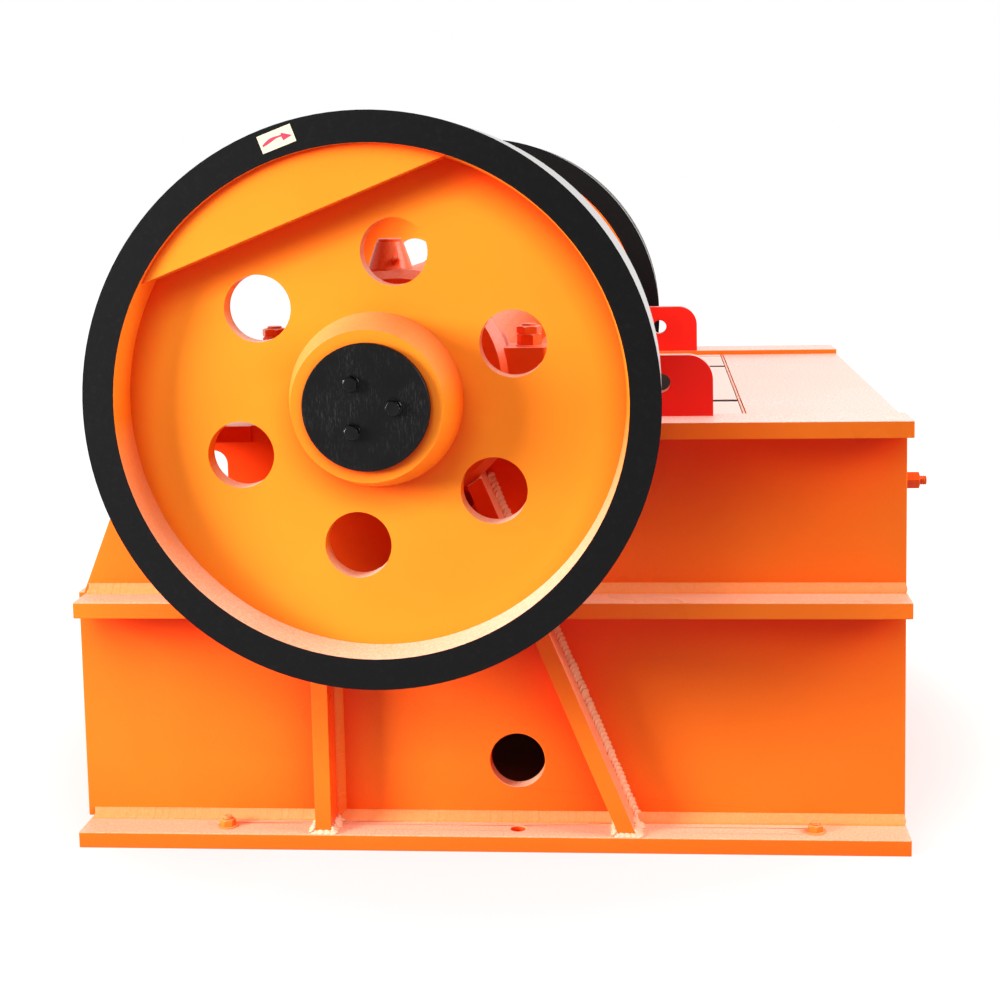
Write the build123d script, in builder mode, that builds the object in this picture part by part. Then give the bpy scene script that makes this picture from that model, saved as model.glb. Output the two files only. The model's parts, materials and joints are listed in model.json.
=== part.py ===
from build123d import *
import math
import os

os.makedirs("parts", exist_ok=True)

# Welded frame
frame_length = 1550.0
wall_gap = 1200.0
wall_t = 30.0
flange_w = 88.0
flange_setback = 18.0
base_setback = 9.0
flange_t = 30.0
mid_flange_z = 439.0
top_flange_z = 766.0
window_x = 55.0
window_z = 145.0
window_r = 51.5
wall_port_r = 20.0
wall_port_land = 9.0
wall_port_deg = -66.0
rear_slope_inset = 11.0
rear_slope_run = 64.0
notch_from_rear = 296.0
notch_depth = 137.0
rear_notch_r = 60.0
rear_lip_r = 26.0
rear_lip_h = 28.0
top_flange_from_rear = 230.0
rib_w = 80.0
vertical_rib_from_rear = 472.0
vertical_rib_t = 30.0
diagonal_rib_from_front = 513.0
diagonal_rib_lean = 0.408
diagonal_rib_t = 30.0
diagonal_rib_head_gap = 49.0
diagonal_rib_top_drop = 20.0
anchor_from_front = 169.0
anchor_from_rear = 284.0
anchor_inset = 47.0
anchor_r = 14.0

# Front box, jaw plates and cheek plates
front_plate_t = 30.0
deck_t = 20.0
deck_drop = 11.0
deck_length = 284.0
backing_t = 40.0
backing_foot_z = 60.0
front_rib_t = 30.0
seam = 8.0
seam_clear = 1.5
fixed_plate_t = 55.0
jaw_plate_t = 42.0
tooth_h = 24.0
tooth_pitch = 66.0
tooth_flat = 10.0
middle_half_w = 308.0
segment_gap = 30.0
jaw_foot_z = 92.0
gape = 250.0
discharge = 45.0
cheek_t = 38.0
cheek_behind = 75.0
side_clear = 6.0

# Lifting lugs
lug_length = 188.0
lug_height = 112.0
lug_t = 30.0
lug_from_ear = 108.0
lug_corner_r = 46.0
lug_hole_r = 17.0
lug_hole_up = 61.0

# Shaft, bearings and swing jaw
shaft_x = -141.0
shaft_rise = 76.0
journal_r = 70.0
wheel_seat_r = 62.0
eccentric_r = 100.0
eccentric_throw = 10.0
running_clear = 0.06
moving_clear = 8.0
seat_r = 225.0
cap_r = 203.0
housing_w = 110.0
housing_chamfer = 16.0
ear_reach = 270.0
ear_h = 135.0
ear_w = 86.0
ear_corner_r = 10.0
grease_boss_r = 41.0
grease_boss_top_r = 24.5
grease_boss_h = 48.0
grease_boss_shift = 17.0
cover_r = 150.0
cover_t = 18.0
barrel_r = 190.0
jaw_front_t = 60.0
jaw_rib_t = 40.0
jaw_rib_count = 5
toggle_t = 36.0
toggle_half_w = 380.0
toggle_setback = 8.0
jaw_lip = 60.0
toggle_from_rear = 190.0
toggle_rear_z = 330.0
seat_block_t = 75.0
seat_block_h = 150.0
rear_beam_h = 190.0
rear_plate_t = 40.0

# Flywheels
wheel_r = 472.0
wheel_t = 255.0
wheel_gap = 56.0
rim_w = 51.5
rim_draft_deg = 5.0
web_front_depth = 72.0
web_t = 42.0
web_fillet = 24.0
rim_chamfer = 4.0
wheel_hole_r = 56.0
wheel_hole_land = 45.0
wheel_hole_count = 6
wheel_hole_start_deg = 21.6
hub_base_r = 146.0
hub_front_r = 124.0
hub_fillet = 14.0
hub_edge_fillet = 4.0
hub_proud = 20.0
hub_back = 20.0
end_cap_r = 103.5
end_cap_t = 12.0
end_cap_chamfer = 1.5
weight_depth = 99.0
weight_angle_deg = 111.6
weight_recess = 10.0
groove_count = 5
groove_pitch = 34.0
groove_top_w = 25.0
groove_bottom_w = 13.0
groove_depth = 20.0

# Places that follow from the sizes above
front_x = frame_length / 2
rear_x = -frame_length / 2
wall_in = wall_gap / 2
wall_out = wall_in + wall_t
flange_out = wall_out + flange_w
mid_flange_top = mid_flange_z + flange_t
top_flange_top = top_flange_z + flange_t
deck_top = top_flange_top - deck_drop
deck_under = deck_top - deck_t
deck_rear_x = front_x - deck_length
front_inner_x = front_x - front_plate_t
backing_front_x = deck_rear_x - seam
fixed_face_x = backing_front_x - fixed_plate_t - tooth_h
cheek_half = wall_in - cheek_t
jaw_half_w = cheek_half - side_clear
swing_top_x = fixed_face_x - gape
swing_foot_x = fixed_face_x - discharge
cheek_rear_x = swing_top_x - cheek_behind
jaw_lean = math.atan2(swing_foot_x - swing_top_x, deck_top - jaw_foot_z)
notch_z = top_flange_z - notch_depth
lip_z = top_flange_z - rear_lip_h
rear_notch_x = rear_x + notch_from_rear
top_flange_rear_x = rear_x + top_flange_from_rear
vertical_rib_x = rear_x + vertical_rib_from_rear
diagonal_rib_x = front_x - diagonal_rib_from_front
diagonal_rib_top_z = top_flange_z - diagonal_rib_head_gap
anchor_x_front = front_x - anchor_from_front
anchor_x_rear = rear_x + anchor_from_rear
anchor_x_middle = (anchor_x_front + anchor_x_rear) / 2
rear_foot_x = rear_x + rear_slope_inset
rear_slope_x = rear_foot_x + rear_slope_run
flange_rear_x = rear_x + flange_setback
flange_length = front_x - flange_rear_x
flange_mid_x = (front_x + flange_rear_x) / 2
base_rear_x = rear_x + base_setback
base_length = front_x - base_rear_x
base_mid_x = (front_x + base_rear_x) / 2
toggle_rear_x = rear_x + toggle_from_rear
shaft_z = top_flange_top + shaft_rise
ear_top_z = top_flange_top + ear_h
lug_x = shaft_x + ear_reach + lug_from_ear + lug_length / 2
wall_port_reach = seat_r + wall_port_land + wall_port_r
wall_port_x = shaft_x + wall_port_reach * math.cos(math.radians(wall_port_deg))
wall_port_z = shaft_z + wall_port_reach * math.sin(math.radians(wall_port_deg))
housing_out = wall_in + housing_w
housing_mid = wall_in + housing_w / 2
wheel_back = flange_out + wheel_gap
wheel_face = wheel_back + wheel_t
hub_face = wheel_face + hub_proud
hub_inner = wheel_back - hub_back
web_front = wheel_face - web_front_depth
web_back = web_front - web_t
rim_inner_r = wheel_r - rim_w
rim_draft = math.tan(math.radians(rim_draft_deg))
weight_chord = rim_inner_r - weight_depth
wheel_hole_ring_r = hub_base_r + wheel_hole_land + wheel_hole_r
shaft_axis = Axis((shaft_x, 0, shaft_z), (0, 1, 0))
shaft_plane = Plane(origin=(shaft_x, 0, shaft_z), x_dir=(1, 0, 0), z_dir=(0, 0, 1))

# Near side wall, a flame-cut plate with the bearing seat let into its top edge
with BuildPart() as side_wall_near:
    with BuildSketch(Plane.XZ.offset(wall_in)):
        with BuildLine():
            Polyline(
                (front_x, flange_t),
                (front_x, top_flange_z),
                (top_flange_rear_x, top_flange_z),
                (top_flange_rear_x, lip_z),
                (rear_notch_x - rear_lip_r, lip_z),
            )
            RadiusArc(
                (rear_notch_x - rear_lip_r, lip_z),
                (rear_notch_x, lip_z - rear_lip_r),
                rear_lip_r,
            )
            Line((rear_notch_x, lip_z - rear_lip_r), (rear_notch_x, notch_z + rear_notch_r))
            RadiusArc(
                (rear_notch_x, notch_z + rear_notch_r),
                (rear_notch_x - rear_notch_r, notch_z),
                rear_notch_r,
            )
            Polyline(
                (rear_notch_x - rear_notch_r, notch_z),
                (rear_slope_x, notch_z),
                (rear_foot_x, mid_flange_top),
                (rear_x, mid_flange_top),
                (rear_x, flange_t),
                (front_x, flange_t),
            )
        make_face()
        with Locations((shaft_x, shaft_z)):
            Circle(seat_r, mode=Mode.SUBTRACT)
        with Locations((window_x, window_z)):
            Circle(window_r, mode=Mode.SUBTRACT)
        with Locations((wall_port_x, wall_port_z)):
            Circle(wall_port_r, mode=Mode.SUBTRACT)
    extrude(amount=wall_t)
side_wall_near.part.label = "side_wall_near"
export_step(side_wall_near.part, "parts/side_wall_near.step")

with BuildPart() as side_wall_far:
    mirror(side_wall_near.part, about=Plane.XZ)
side_wall_far.part.label = "side_wall_far"
export_step(side_wall_far.part, "parts/side_wall_far.step")

# Base flange under the wall, with three foundation bolt holes
with BuildPart() as base_flange_near:
    with BuildSketch(Plane.XY):
        with Locations((base_mid_x, -(wall_in + flange_out) / 2)):
            Rectangle(base_length, flange_out - wall_in)
        with Locations(
            (anchor_x_front, -(wall_out + anchor_inset)),
            (anchor_x_middle, -(wall_out + anchor_inset)),
            (anchor_x_rear, -(wall_out + anchor_inset)),
        ):
            Circle(anchor_r, mode=Mode.SUBTRACT)
    extrude(amount=flange_t)
base_flange_near.part.label = "base_flange_near"
export_step(base_flange_near.part, "parts/base_flange_near.step")

with BuildPart() as base_flange_far:
    mirror(base_flange_near.part, about=Plane.XZ)
base_flange_far.part.label = "base_flange_far"
export_step(base_flange_far.part, "parts/base_flange_far.step")

# Middle flange, welded along the outside of the wall
with BuildPart() as mid_flange_near:
    with BuildSketch(Plane.XY.offset(mid_flange_z)):
        with Locations((flange_mid_x, -(wall_out + flange_out) / 2)):
            Rectangle(flange_length, flange_w)
    extrude(amount=flange_t)
mid_flange_near.part.label = "mid_flange_near"
export_step(mid_flange_near.part, "parts/mid_flange_near.step")

with BuildPart() as mid_flange_far:
    mirror(mid_flange_near.part, about=Plane.XZ)
mid_flange_far.part.label = "mid_flange_far"
export_step(mid_flange_far.part, "parts/mid_flange_far.step")

# Top flange on the wall's edge, parted by the bearing seat
with BuildPart() as top_flange_front_near:
    with BuildSketch(Plane.XY.offset(top_flange_z)):
        with Locations(((shaft_x + ear_reach + front_x) / 2, -(wall_in + flange_out) / 2)):
            Rectangle(front_x - shaft_x - ear_reach, flange_out - wall_in)
    extrude(amount=flange_t)
top_flange_front_near.part.label = "top_flange_front_near"
export_step(top_flange_front_near.part, "parts/top_flange_front_near.step")

with BuildPart() as top_flange_front_far:
    mirror(top_flange_front_near.part, about=Plane.XZ)
top_flange_front_far.part.label = "top_flange_front_far"
export_step(top_flange_front_far.part, "parts/top_flange_front_far.step")

with BuildPart() as top_flange_rear_near:
    with BuildSketch(Plane.XY.offset(top_flange_z)):
        with Locations(((shaft_x - ear_reach + top_flange_rear_x) / 2, -(wall_in + flange_out) / 2)):
            Rectangle(shaft_x - ear_reach - top_flange_rear_x, flange_out - wall_in)
    extrude(amount=flange_t)
top_flange_rear_near.part.label = "top_flange_rear_near"
export_step(top_flange_rear_near.part, "parts/top_flange_rear_near.step")

with BuildPart() as top_flange_rear_far:
    mirror(top_flange_rear_near.part, about=Plane.XZ)
top_flange_rear_far.part.label = "top_flange_rear_far"
export_step(top_flange_rear_far.part, "parts/top_flange_rear_far.step")

# Upright rib between the base flange and the middle flange
with BuildPart() as vertical_rib_near:
    with BuildSketch(Plane.XZ.offset(wall_out)):
        with Locations((vertical_rib_x, (flange_t + mid_flange_z) / 2)):
            Rectangle(vertical_rib_t, mid_flange_z - flange_t)
    extrude(amount=rib_w)
vertical_rib_near.part.label = "vertical_rib_near"
export_step(vertical_rib_near.part, "parts/vertical_rib_near.step")

with BuildPart() as vertical_rib_far:
    mirror(vertical_rib_near.part, about=Plane.XZ)
vertical_rib_far.part.label = "vertical_rib_far"
export_step(vertical_rib_far.part, "parts/vertical_rib_far.step")

# Leaning rib below the middle flange, then its upper length with a bevelled head
diagonal_half_x = diagonal_rib_t / 2 * math.hypot(1, diagonal_rib_lean)
diagonal_mid_x = diagonal_rib_x - diagonal_rib_lean * (mid_flange_z - flange_t)
diagonal_upper_x = diagonal_rib_x - diagonal_rib_lean * (mid_flange_top - flange_t)
diagonal_top_x = diagonal_rib_x - diagonal_rib_lean * (diagonal_rib_top_z - flange_t)

with BuildPart() as diagonal_rib_lower_near:
    with BuildSketch(Plane.XZ.offset(wall_out)):
        Polygon(
            (diagonal_rib_x - diagonal_half_x, flange_t),
            (diagonal_rib_x + diagonal_half_x, flange_t),
            (diagonal_mid_x + diagonal_half_x, mid_flange_z),
            (diagonal_mid_x - diagonal_half_x, mid_flange_z),
            align=None,
        )
    extrude(amount=rib_w)
diagonal_rib_lower_near.part.label = "diagonal_rib_lower_near"
export_step(diagonal_rib_lower_near.part, "parts/diagonal_rib_lower_near.step")

with BuildPart() as diagonal_rib_lower_far:
    mirror(diagonal_rib_lower_near.part, about=Plane.XZ)
diagonal_rib_lower_far.part.label = "diagonal_rib_lower_far"
export_step(diagonal_rib_lower_far.part, "parts/diagonal_rib_lower_far.step")

with BuildPart() as diagonal_rib_upper_near:
    with BuildSketch(Plane.XZ.offset(wall_out)):
        Polygon(
            (diagonal_upper_x - diagonal_half_x, mid_flange_top),
            (diagonal_upper_x + diagonal_half_x, mid_flange_top),
            (diagonal_top_x + diagonal_half_x, diagonal_rib_top_z),
            (diagonal_top_x - diagonal_half_x, diagonal_rib_top_z),
            align=None,
        )
        with Locations((shaft_x, shaft_z)):
            Circle(seat_r, mode=Mode.SUBTRACT)
    extrude(amount=rib_w)
    with BuildSketch(Plane.YZ.offset(diagonal_top_x - rib_w)):
        Polygon(
            (-wall_out, diagonal_rib_top_z),
            (-(wall_out + rib_w), diagonal_rib_top_z),
            (-(wall_out + rib_w), diagonal_rib_top_z - diagonal_rib_top_drop),
            align=None,
        )
    extrude(amount=3 * rib_w, mode=Mode.SUBTRACT)
diagonal_rib_upper_near.part.label = "diagonal_rib_upper_near"
export_step(diagonal_rib_upper_near.part, "parts/diagonal_rib_upper_near.step")

with BuildPart() as diagonal_rib_upper_far:
    mirror(diagonal_rib_upper_near.part, about=Plane.XZ)
diagonal_rib_upper_far.part.label = "diagonal_rib_upper_far"
export_step(diagonal_rib_upper_far.part, "parts/diagonal_rib_upper_far.step")

# Front box: outer plate, backing plate behind the fixed jaw, stiffening rib and deck
with BuildPart() as front_plate:
    with BuildSketch(Plane.XY):
        with Locations(((front_inner_x + front_x) / 2, 0)):
            Rectangle(front_plate_t, wall_gap)
    extrude(amount=deck_under)
front_plate.part.label = "front_plate"
export_step(front_plate.part, "parts/front_plate.step")

with BuildPart() as jaw_backing_plate:
    with BuildSketch(Plane.XY.offset(backing_foot_z)):
        with Locations((backing_front_x + backing_t / 2, 0)):
            Rectangle(backing_t, wall_gap)
    extrude(amount=deck_under - backing_foot_z)
    with BuildSketch(Plane.XZ.offset(-wall_in)):
        with Locations((backing_front_x, backing_foot_z)):
            Rectangle(
                2 * (fixed_plate_t - tooth_h), jaw_foot_z - backing_foot_z,
                align=(Align.CENTER, Align.MIN),
            )
    extrude(amount=wall_gap)
    with BuildSketch(Plane.XY.offset(deck_under)):
        with Locations((backing_front_x + seam / 2, 0)):
            Rectangle(seam - 2 * seam_clear, wall_gap)
    extrude(amount=deck_t)
jaw_backing_plate.part.label = "jaw_backing_plate"
export_step(jaw_backing_plate.part, "parts/jaw_backing_plate.step")

with BuildPart() as front_box_rib:
    with BuildSketch(Plane.XZ.offset(-front_rib_t / 2)):
        Polygon(
            (backing_front_x + backing_t, backing_foot_z),
            (front_inner_x, backing_foot_z),
            (front_inner_x, deck_under),
            (backing_front_x + backing_t, deck_under),
            align=None,
        )
    extrude(amount=front_rib_t)
front_box_rib.part.label = "front_box_rib"
export_step(front_box_rib.part, "parts/front_box_rib.step")

with BuildPart() as deck_plate:
    with BuildSketch(Plane.XY.offset(deck_under)):
        with Locations(((deck_rear_x + front_x) / 2, 0)):
            Rectangle(front_x - deck_rear_x, wall_gap)
    extrude(amount=deck_t)
deck_plate.part.label = "deck_plate"
export_step(deck_plate.part, "parts/deck_plate.step")

# Fixed jaw plate: upright corrugated castings, one wide segment between two narrow ones
fixed_root_x = backing_front_x - fixed_plate_t


def tooth_row(low, high, root, tip):
    """Corrugated outline of one jaw segment, as points across the machine."""
    count = int((high - low) // tooth_pitch)
    start = (low + high - count * tooth_pitch) / 2
    row = [(root, low)]
    for i in range(count):
        y0 = start + i * tooth_pitch
        row.append((root, y0 + tooth_flat / 2))
        row.append((tip, y0 + (tooth_pitch - tooth_flat) / 2))
        row.append((tip, y0 + (tooth_pitch + tooth_flat) / 2))
        row.append((root, y0 + tooth_pitch - tooth_flat / 2))
    row.append((root, high))
    return row


with BuildPart() as fixed_jaw_plate_middle:
    with BuildSketch(Plane.XY.offset(jaw_foot_z)):
        with BuildLine():
            Polyline(
                *tooth_row(-middle_half_w, middle_half_w, fixed_root_x, fixed_face_x),
                (backing_front_x, middle_half_w),
                (backing_front_x, -middle_half_w),
                close=True,
            )
        make_face()
    extrude(amount=deck_top - jaw_foot_z)
fixed_jaw_plate_middle.part.label = "fixed_jaw_plate_middle"
export_step(fixed_jaw_plate_middle.part, "parts/fixed_jaw_plate_middle.step")

with BuildPart() as fixed_jaw_plate_near:
    with BuildSketch(Plane.XY.offset(jaw_foot_z)):
        with BuildLine():
            Polyline(
                *tooth_row(-jaw_half_w, -middle_half_w - segment_gap, fixed_root_x, fixed_face_x),
                (backing_front_x, -middle_half_w - segment_gap),
                (backing_front_x, -jaw_half_w),
                close=True,
            )
        make_face()
    extrude(amount=deck_top - jaw_foot_z)
fixed_jaw_plate_near.part.label = "fixed_jaw_plate_near"
export_step(fixed_jaw_plate_near.part, "parts/fixed_jaw_plate_near.step")

with BuildPart() as fixed_jaw_plate_far:
    mirror(fixed_jaw_plate_near.part, about=Plane.XZ)
fixed_jaw_plate_far.part.label = "fixed_jaw_plate_far"
export_step(fixed_jaw_plate_far.part, "parts/fixed_jaw_plate_far.step")

# Swing jaw plate: the same corrugation, half a pitch across, leaning with the swing jaw
swing_dir = Vector(math.sin(jaw_lean), 0, -math.cos(jaw_lean))
swing_length = (deck_top - jaw_foot_z) / math.cos(jaw_lean)
swing_plane = Plane(
    origin=(swing_top_x, 0, deck_top),
    x_dir=(math.cos(jaw_lean), 0, math.sin(jaw_lean)),
    z_dir=(swing_dir.X, swing_dir.Y, swing_dir.Z),
)
swing_half_w = jaw_half_w - side_clear
with BuildPart() as swing_jaw_plate:
    with BuildSketch(swing_plane):
        with BuildLine():
            Polyline(
                *tooth_row(-swing_half_w, swing_half_w, -tooth_h, 0),
                (-tooth_h - jaw_plate_t, swing_half_w),
                (-tooth_h - jaw_plate_t, -swing_half_w),
                close=True,
            )
        make_face()
    extrude(amount=swing_length)
swing_jaw_plate.part.label = "swing_jaw_plate"
export_step(swing_jaw_plate.part, "parts/swing_jaw_plate.step")

# Swing jaw casting: barrel round the shaft, face plate and a row of back ribs
normal_x = math.cos(jaw_lean)
normal_z = math.sin(jaw_lean)
seat_back = tooth_h + jaw_plate_t


def jaw_point(down, back):
    """Point on the swing jaw's side view, measured from the top of its toothed face."""
    return (
        swing_top_x + swing_dir.X * down - normal_x * back,
        deck_top + swing_dir.Z * down - normal_z * back,
    )


jaw_top_front = jaw_point(0, seat_back)
jaw_foot_front = jaw_point(swing_length, seat_back)
jaw_foot_back = jaw_point(swing_length, seat_back + jaw_front_t)
jaw_heel = jaw_point(swing_length - seat_block_h, seat_back + 2 * jaw_front_t)
toggle_front = jaw_point(
    swing_length - (seat_block_h + jaw_lip) / 2, seat_back + 2 * jaw_front_t + toggle_t / 4
)
bore_r = eccentric_r + eccentric_throw + moving_clear

with BuildPart() as swing_jaw:
    with BuildSketch(Plane.XZ.offset(-swing_half_w)):
        with Locations((shaft_x, shaft_z)):
            Circle(barrel_r)
        Polygon(
            (shaft_x, shaft_z + barrel_r),
            (jaw_top_front[0], jaw_top_front[1] + jaw_front_t / 2),
            jaw_top_front,
            jaw_foot_front,
            jaw_foot_back,
            jaw_point(barrel_r, seat_back + jaw_front_t),
            (shaft_x, shaft_z),
            align=None,
        )
        with Locations((shaft_x, shaft_z)):
            Circle(bore_r, mode=Mode.SUBTRACT)
    extrude(amount=2 * swing_half_w)
    rib_step = (2 * swing_half_w - jaw_rib_t) / (jaw_rib_count - 1)
    for i in range(jaw_rib_count):
        with BuildSketch(Plane.XZ.offset(-swing_half_w + i * rib_step)):
            Polygon(
                (shaft_x - barrel_r * 0.8, shaft_z - barrel_r * 0.6),
                (shaft_x, shaft_z - bore_r),
                jaw_point(barrel_r, seat_back),
                jaw_foot_front,
                jaw_foot_back,
                jaw_heel,
                align=None,
            )
            with Locations((shaft_x, shaft_z)):
                Circle(bore_r, mode=Mode.SUBTRACT)
        extrude(amount=jaw_rib_t)
    with BuildSketch(Plane.XZ.offset(-swing_half_w)):
        Polygon(
            jaw_heel,
            jaw_point(swing_length - seat_block_h, seat_back),
            jaw_point(swing_length - jaw_lip, seat_back),
            jaw_point(swing_length - jaw_lip, seat_back + 2 * jaw_front_t),
            align=None,
        )
    extrude(amount=2 * swing_half_w)
    with BuildSketch(Plane.XZ.offset(-swing_half_w)):
        with Locations(toggle_front):
            Circle(toggle_t / 2 + running_clear)
        Polygon(
            jaw_point(0, 0),
            jaw_point(swing_length, 0),
            jaw_foot_front,
            jaw_top_front,
            align=None,
        )
    extrude(amount=2 * swing_half_w, mode=Mode.SUBTRACT)
swing_jaw.part.label = "swing_jaw"
export_step(swing_jaw.part, "parts/swing_jaw.step")

# Cheek plates that line the side walls
with BuildPart() as cheek_plate_near:
    with BuildSketch(Plane.XZ.offset(cheek_half)):
        Polygon(
            (cheek_rear_x, deck_top),
            (cheek_rear_x + (deck_top - jaw_foot_z) * math.tan(jaw_lean), jaw_foot_z),
            (backing_front_x, jaw_foot_z),
            (backing_front_x, deck_top),
            align=None,
        )
    extrude(amount=cheek_t)
cheek_plate_near.part.label = "cheek_plate_near"
export_step(cheek_plate_near.part, "parts/cheek_plate_near.step")

with BuildPart() as cheek_plate_far:
    mirror(cheek_plate_near.part, about=Plane.XZ)
cheek_plate_far.part.label = "cheek_plate_far"
export_step(cheek_plate_far.part, "parts/cheek_plate_far.step")

# Rear wall: upright plate and the beam that takes the toggle
with BuildPart() as rear_plate_lower:
    with BuildSketch(Plane.XY):
        with Locations((rear_x + rear_plate_t / 2, 0)):
            Rectangle(rear_plate_t, wall_gap)
    extrude(amount=mid_flange_top)
rear_plate_lower.part.label = "rear_plate_lower"
export_step(rear_plate_lower.part, "parts/rear_plate_lower.step")

block_front_x = toggle_rear_x - toggle_setback
block_back_x = block_front_x - seat_block_t
with BuildPart() as toggle_beam:
    with BuildSketch(Plane.XZ.offset(-wall_in)):
        Polygon(
            (rear_x + rear_plate_t, toggle_rear_z - rear_beam_h / 2),
            (block_back_x, toggle_rear_z - rear_beam_h / 2),
            (block_back_x, toggle_rear_z + rear_beam_h / 2),
            (rear_x + rear_plate_t, toggle_rear_z + rear_beam_h / 2),
            align=None,
        )
    extrude(amount=wall_gap)
toggle_beam.part.label = "toggle_beam"
export_step(toggle_beam.part, "parts/toggle_beam.step")

with BuildPart() as toggle_block:
    with BuildSketch(Plane.XZ.offset(-toggle_half_w)):
        with Locations((block_back_x, toggle_rear_z)):
            Rectangle(
                seat_block_t, seat_block_h,
                align=(Align.MIN, Align.CENTER),
            )
        with Locations((toggle_rear_x, toggle_rear_z)):
            Circle(toggle_t / 2 + running_clear, mode=Mode.SUBTRACT)
    extrude(amount=2 * toggle_half_w)
toggle_block.part.label = "toggle_block"
export_step(toggle_block.part, "parts/toggle_block.step")

toggle_span = math.hypot(toggle_front[0] - toggle_rear_x, toggle_front[1] - toggle_rear_z)
toggle_lean_deg = math.degrees(
    math.atan2(toggle_front[1] - toggle_rear_z, toggle_front[0] - toggle_rear_x)
)
with BuildPart() as toggle_plate:
    with BuildSketch(Plane.XZ.offset(-toggle_half_w)):
        with Locations(
            Location(
                ((toggle_rear_x + toggle_front[0]) / 2, (toggle_rear_z + toggle_front[1]) / 2),
                toggle_lean_deg,
            )
        ):
            SlotCenterToCenter(toggle_span, toggle_t)
    extrude(amount=2 * toggle_half_w)
toggle_plate.part.label = "toggle_plate"
export_step(toggle_plate.part, "parts/toggle_plate.step")

# Bearing seat let into the wall, and the bearing cap that stands on the top flange
with BuildPart() as bearing_seat_near:
    with BuildSketch(shaft_plane):
        Polygon(
            (0, -wall_in),
            (seat_r, -wall_in),
            (seat_r, -housing_out + housing_chamfer),
            (seat_r - housing_chamfer, -housing_out),
            (0, -housing_out),
            align=None,
        )
    revolve(axis=shaft_axis)
    with BuildSketch(Plane.XZ.offset(wall_in)):
        with Locations((shaft_x, top_flange_top)):
            Rectangle(
                2 * (seat_r + ear_reach), 2 * (seat_r + shaft_rise),
                align=(Align.CENTER, Align.MIN),
            )
    extrude(amount=housing_w, mode=Mode.SUBTRACT)
    with BuildSketch(Plane.XZ.offset(wall_in)):
        with Locations((shaft_x, top_flange_z)):
            Rectangle(2 * ear_reach, flange_t, align=(Align.CENTER, Align.MIN))
    extrude(amount=housing_w)
bearing_seat_near.part.label = "bearing_seat_near"
export_step(bearing_seat_near.part, "parts/bearing_seat_near.step")

with BuildPart() as bearing_seat_far:
    mirror(bearing_seat_near.part, about=Plane.XZ)
bearing_seat_far.part.label = "bearing_seat_far"
export_step(bearing_seat_far.part, "parts/bearing_seat_far.step")

with BuildPart() as bearing_cap_near:
    with BuildSketch(shaft_plane):
        Polygon(
            (0, -wall_in),
            (cap_r, -wall_in),
            (cap_r, -housing_out + housing_chamfer),
            (cap_r - housing_chamfer, -housing_out),
            (0, -housing_out),
            align=None,
        )
    revolve(axis=shaft_axis)
    with BuildSketch(Plane.XZ.offset(wall_in)):
        with Locations((shaft_x, top_flange_top)):
            Rectangle(
                2 * (cap_r + ear_reach), 2 * cap_r, align=(Align.CENTER, Align.MAX)
            )
    extrude(amount=housing_w, mode=Mode.SUBTRACT)
    with BuildSketch(Plane.XY.offset(top_flange_top)):
        with Locations((shaft_x, -housing_mid)):
            RectangleRounded(2 * ear_reach, ear_w, ear_corner_r)
    extrude(amount=ear_h)
    with BuildSketch(Plane.XY.offset(shaft_z)):
        with Locations((shaft_x - grease_boss_shift, -housing_mid)):
            Circle(grease_boss_r)
    extrude(amount=cap_r)
    with BuildSketch(Plane.XY.offset(shaft_z + cap_r)):
        with Locations((shaft_x - grease_boss_shift, -housing_mid)):
            Circle(grease_boss_r)
    with BuildSketch(Plane.XY.offset(shaft_z + cap_r + grease_boss_h)):
        with Locations((shaft_x - grease_boss_shift, -housing_mid)):
            Circle(grease_boss_top_r)
    loft()
    with BuildSketch(Plane.XZ.offset(wall_in)):
        with Locations((shaft_x, shaft_z)):
            Circle(journal_r + running_clear)
    extrude(amount=housing_w, mode=Mode.SUBTRACT)
bearing_cap_near.part.label = "bearing_cap_near"
export_step(bearing_cap_near.part, "parts/bearing_cap_near.step")

with BuildPart() as bearing_cap_far:
    mirror(bearing_cap_near.part, about=Plane.XZ)
bearing_cap_far.part.label = "bearing_cap_far"
export_step(bearing_cap_far.part, "parts/bearing_cap_far.step")

# Bearing end cover, a turned ring with a raised rim
with BuildPart() as bearing_cover_near:
    with BuildSketch(shaft_plane):
        Polygon(
            (journal_r + moving_clear, -housing_out),
            (cover_r, -housing_out),
            (cover_r, -housing_out - cover_t * 0.6),
            (cover_r - cover_t, -housing_out - cover_t),
            (journal_r + moving_clear, -housing_out - cover_t),
            align=None,
        )
    revolve(axis=shaft_axis)
bearing_cover_near.part.label = "bearing_cover_near"
export_step(bearing_cover_near.part, "parts/bearing_cover_near.step")

with BuildPart() as bearing_cover_far:
    mirror(bearing_cover_near.part, about=Plane.XZ)
bearing_cover_far.part.label = "bearing_cover_far"
export_step(bearing_cover_far.part, "parts/bearing_cover_far.step")

# Lifting lug on the top flange, in line with the wall
with BuildPart() as lifting_lug_near:
    with BuildSketch(Plane.XZ.offset(wall_out - lug_t)):
        with Locations((lug_x, top_flange_top)):
            Rectangle(lug_length, lug_height, align=(Align.CENTER, Align.MIN))
        fillet(vertices().group_by(Axis.Y)[-1], lug_corner_r)
        with Locations((lug_x, top_flange_top + lug_hole_up)):
            Circle(lug_hole_r, mode=Mode.SUBTRACT)
    extrude(amount=lug_t)
lifting_lug_near.part.label = "lifting_lug_near"
export_step(lifting_lug_near.part, "parts/lifting_lug_near.step")

with BuildPart() as lifting_lug_far:
    mirror(lifting_lug_near.part, about=Plane.XZ)
lifting_lug_far.part.label = "lifting_lug_far"
export_step(lifting_lug_far.part, "parts/lifting_lug_far.step")

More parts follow.
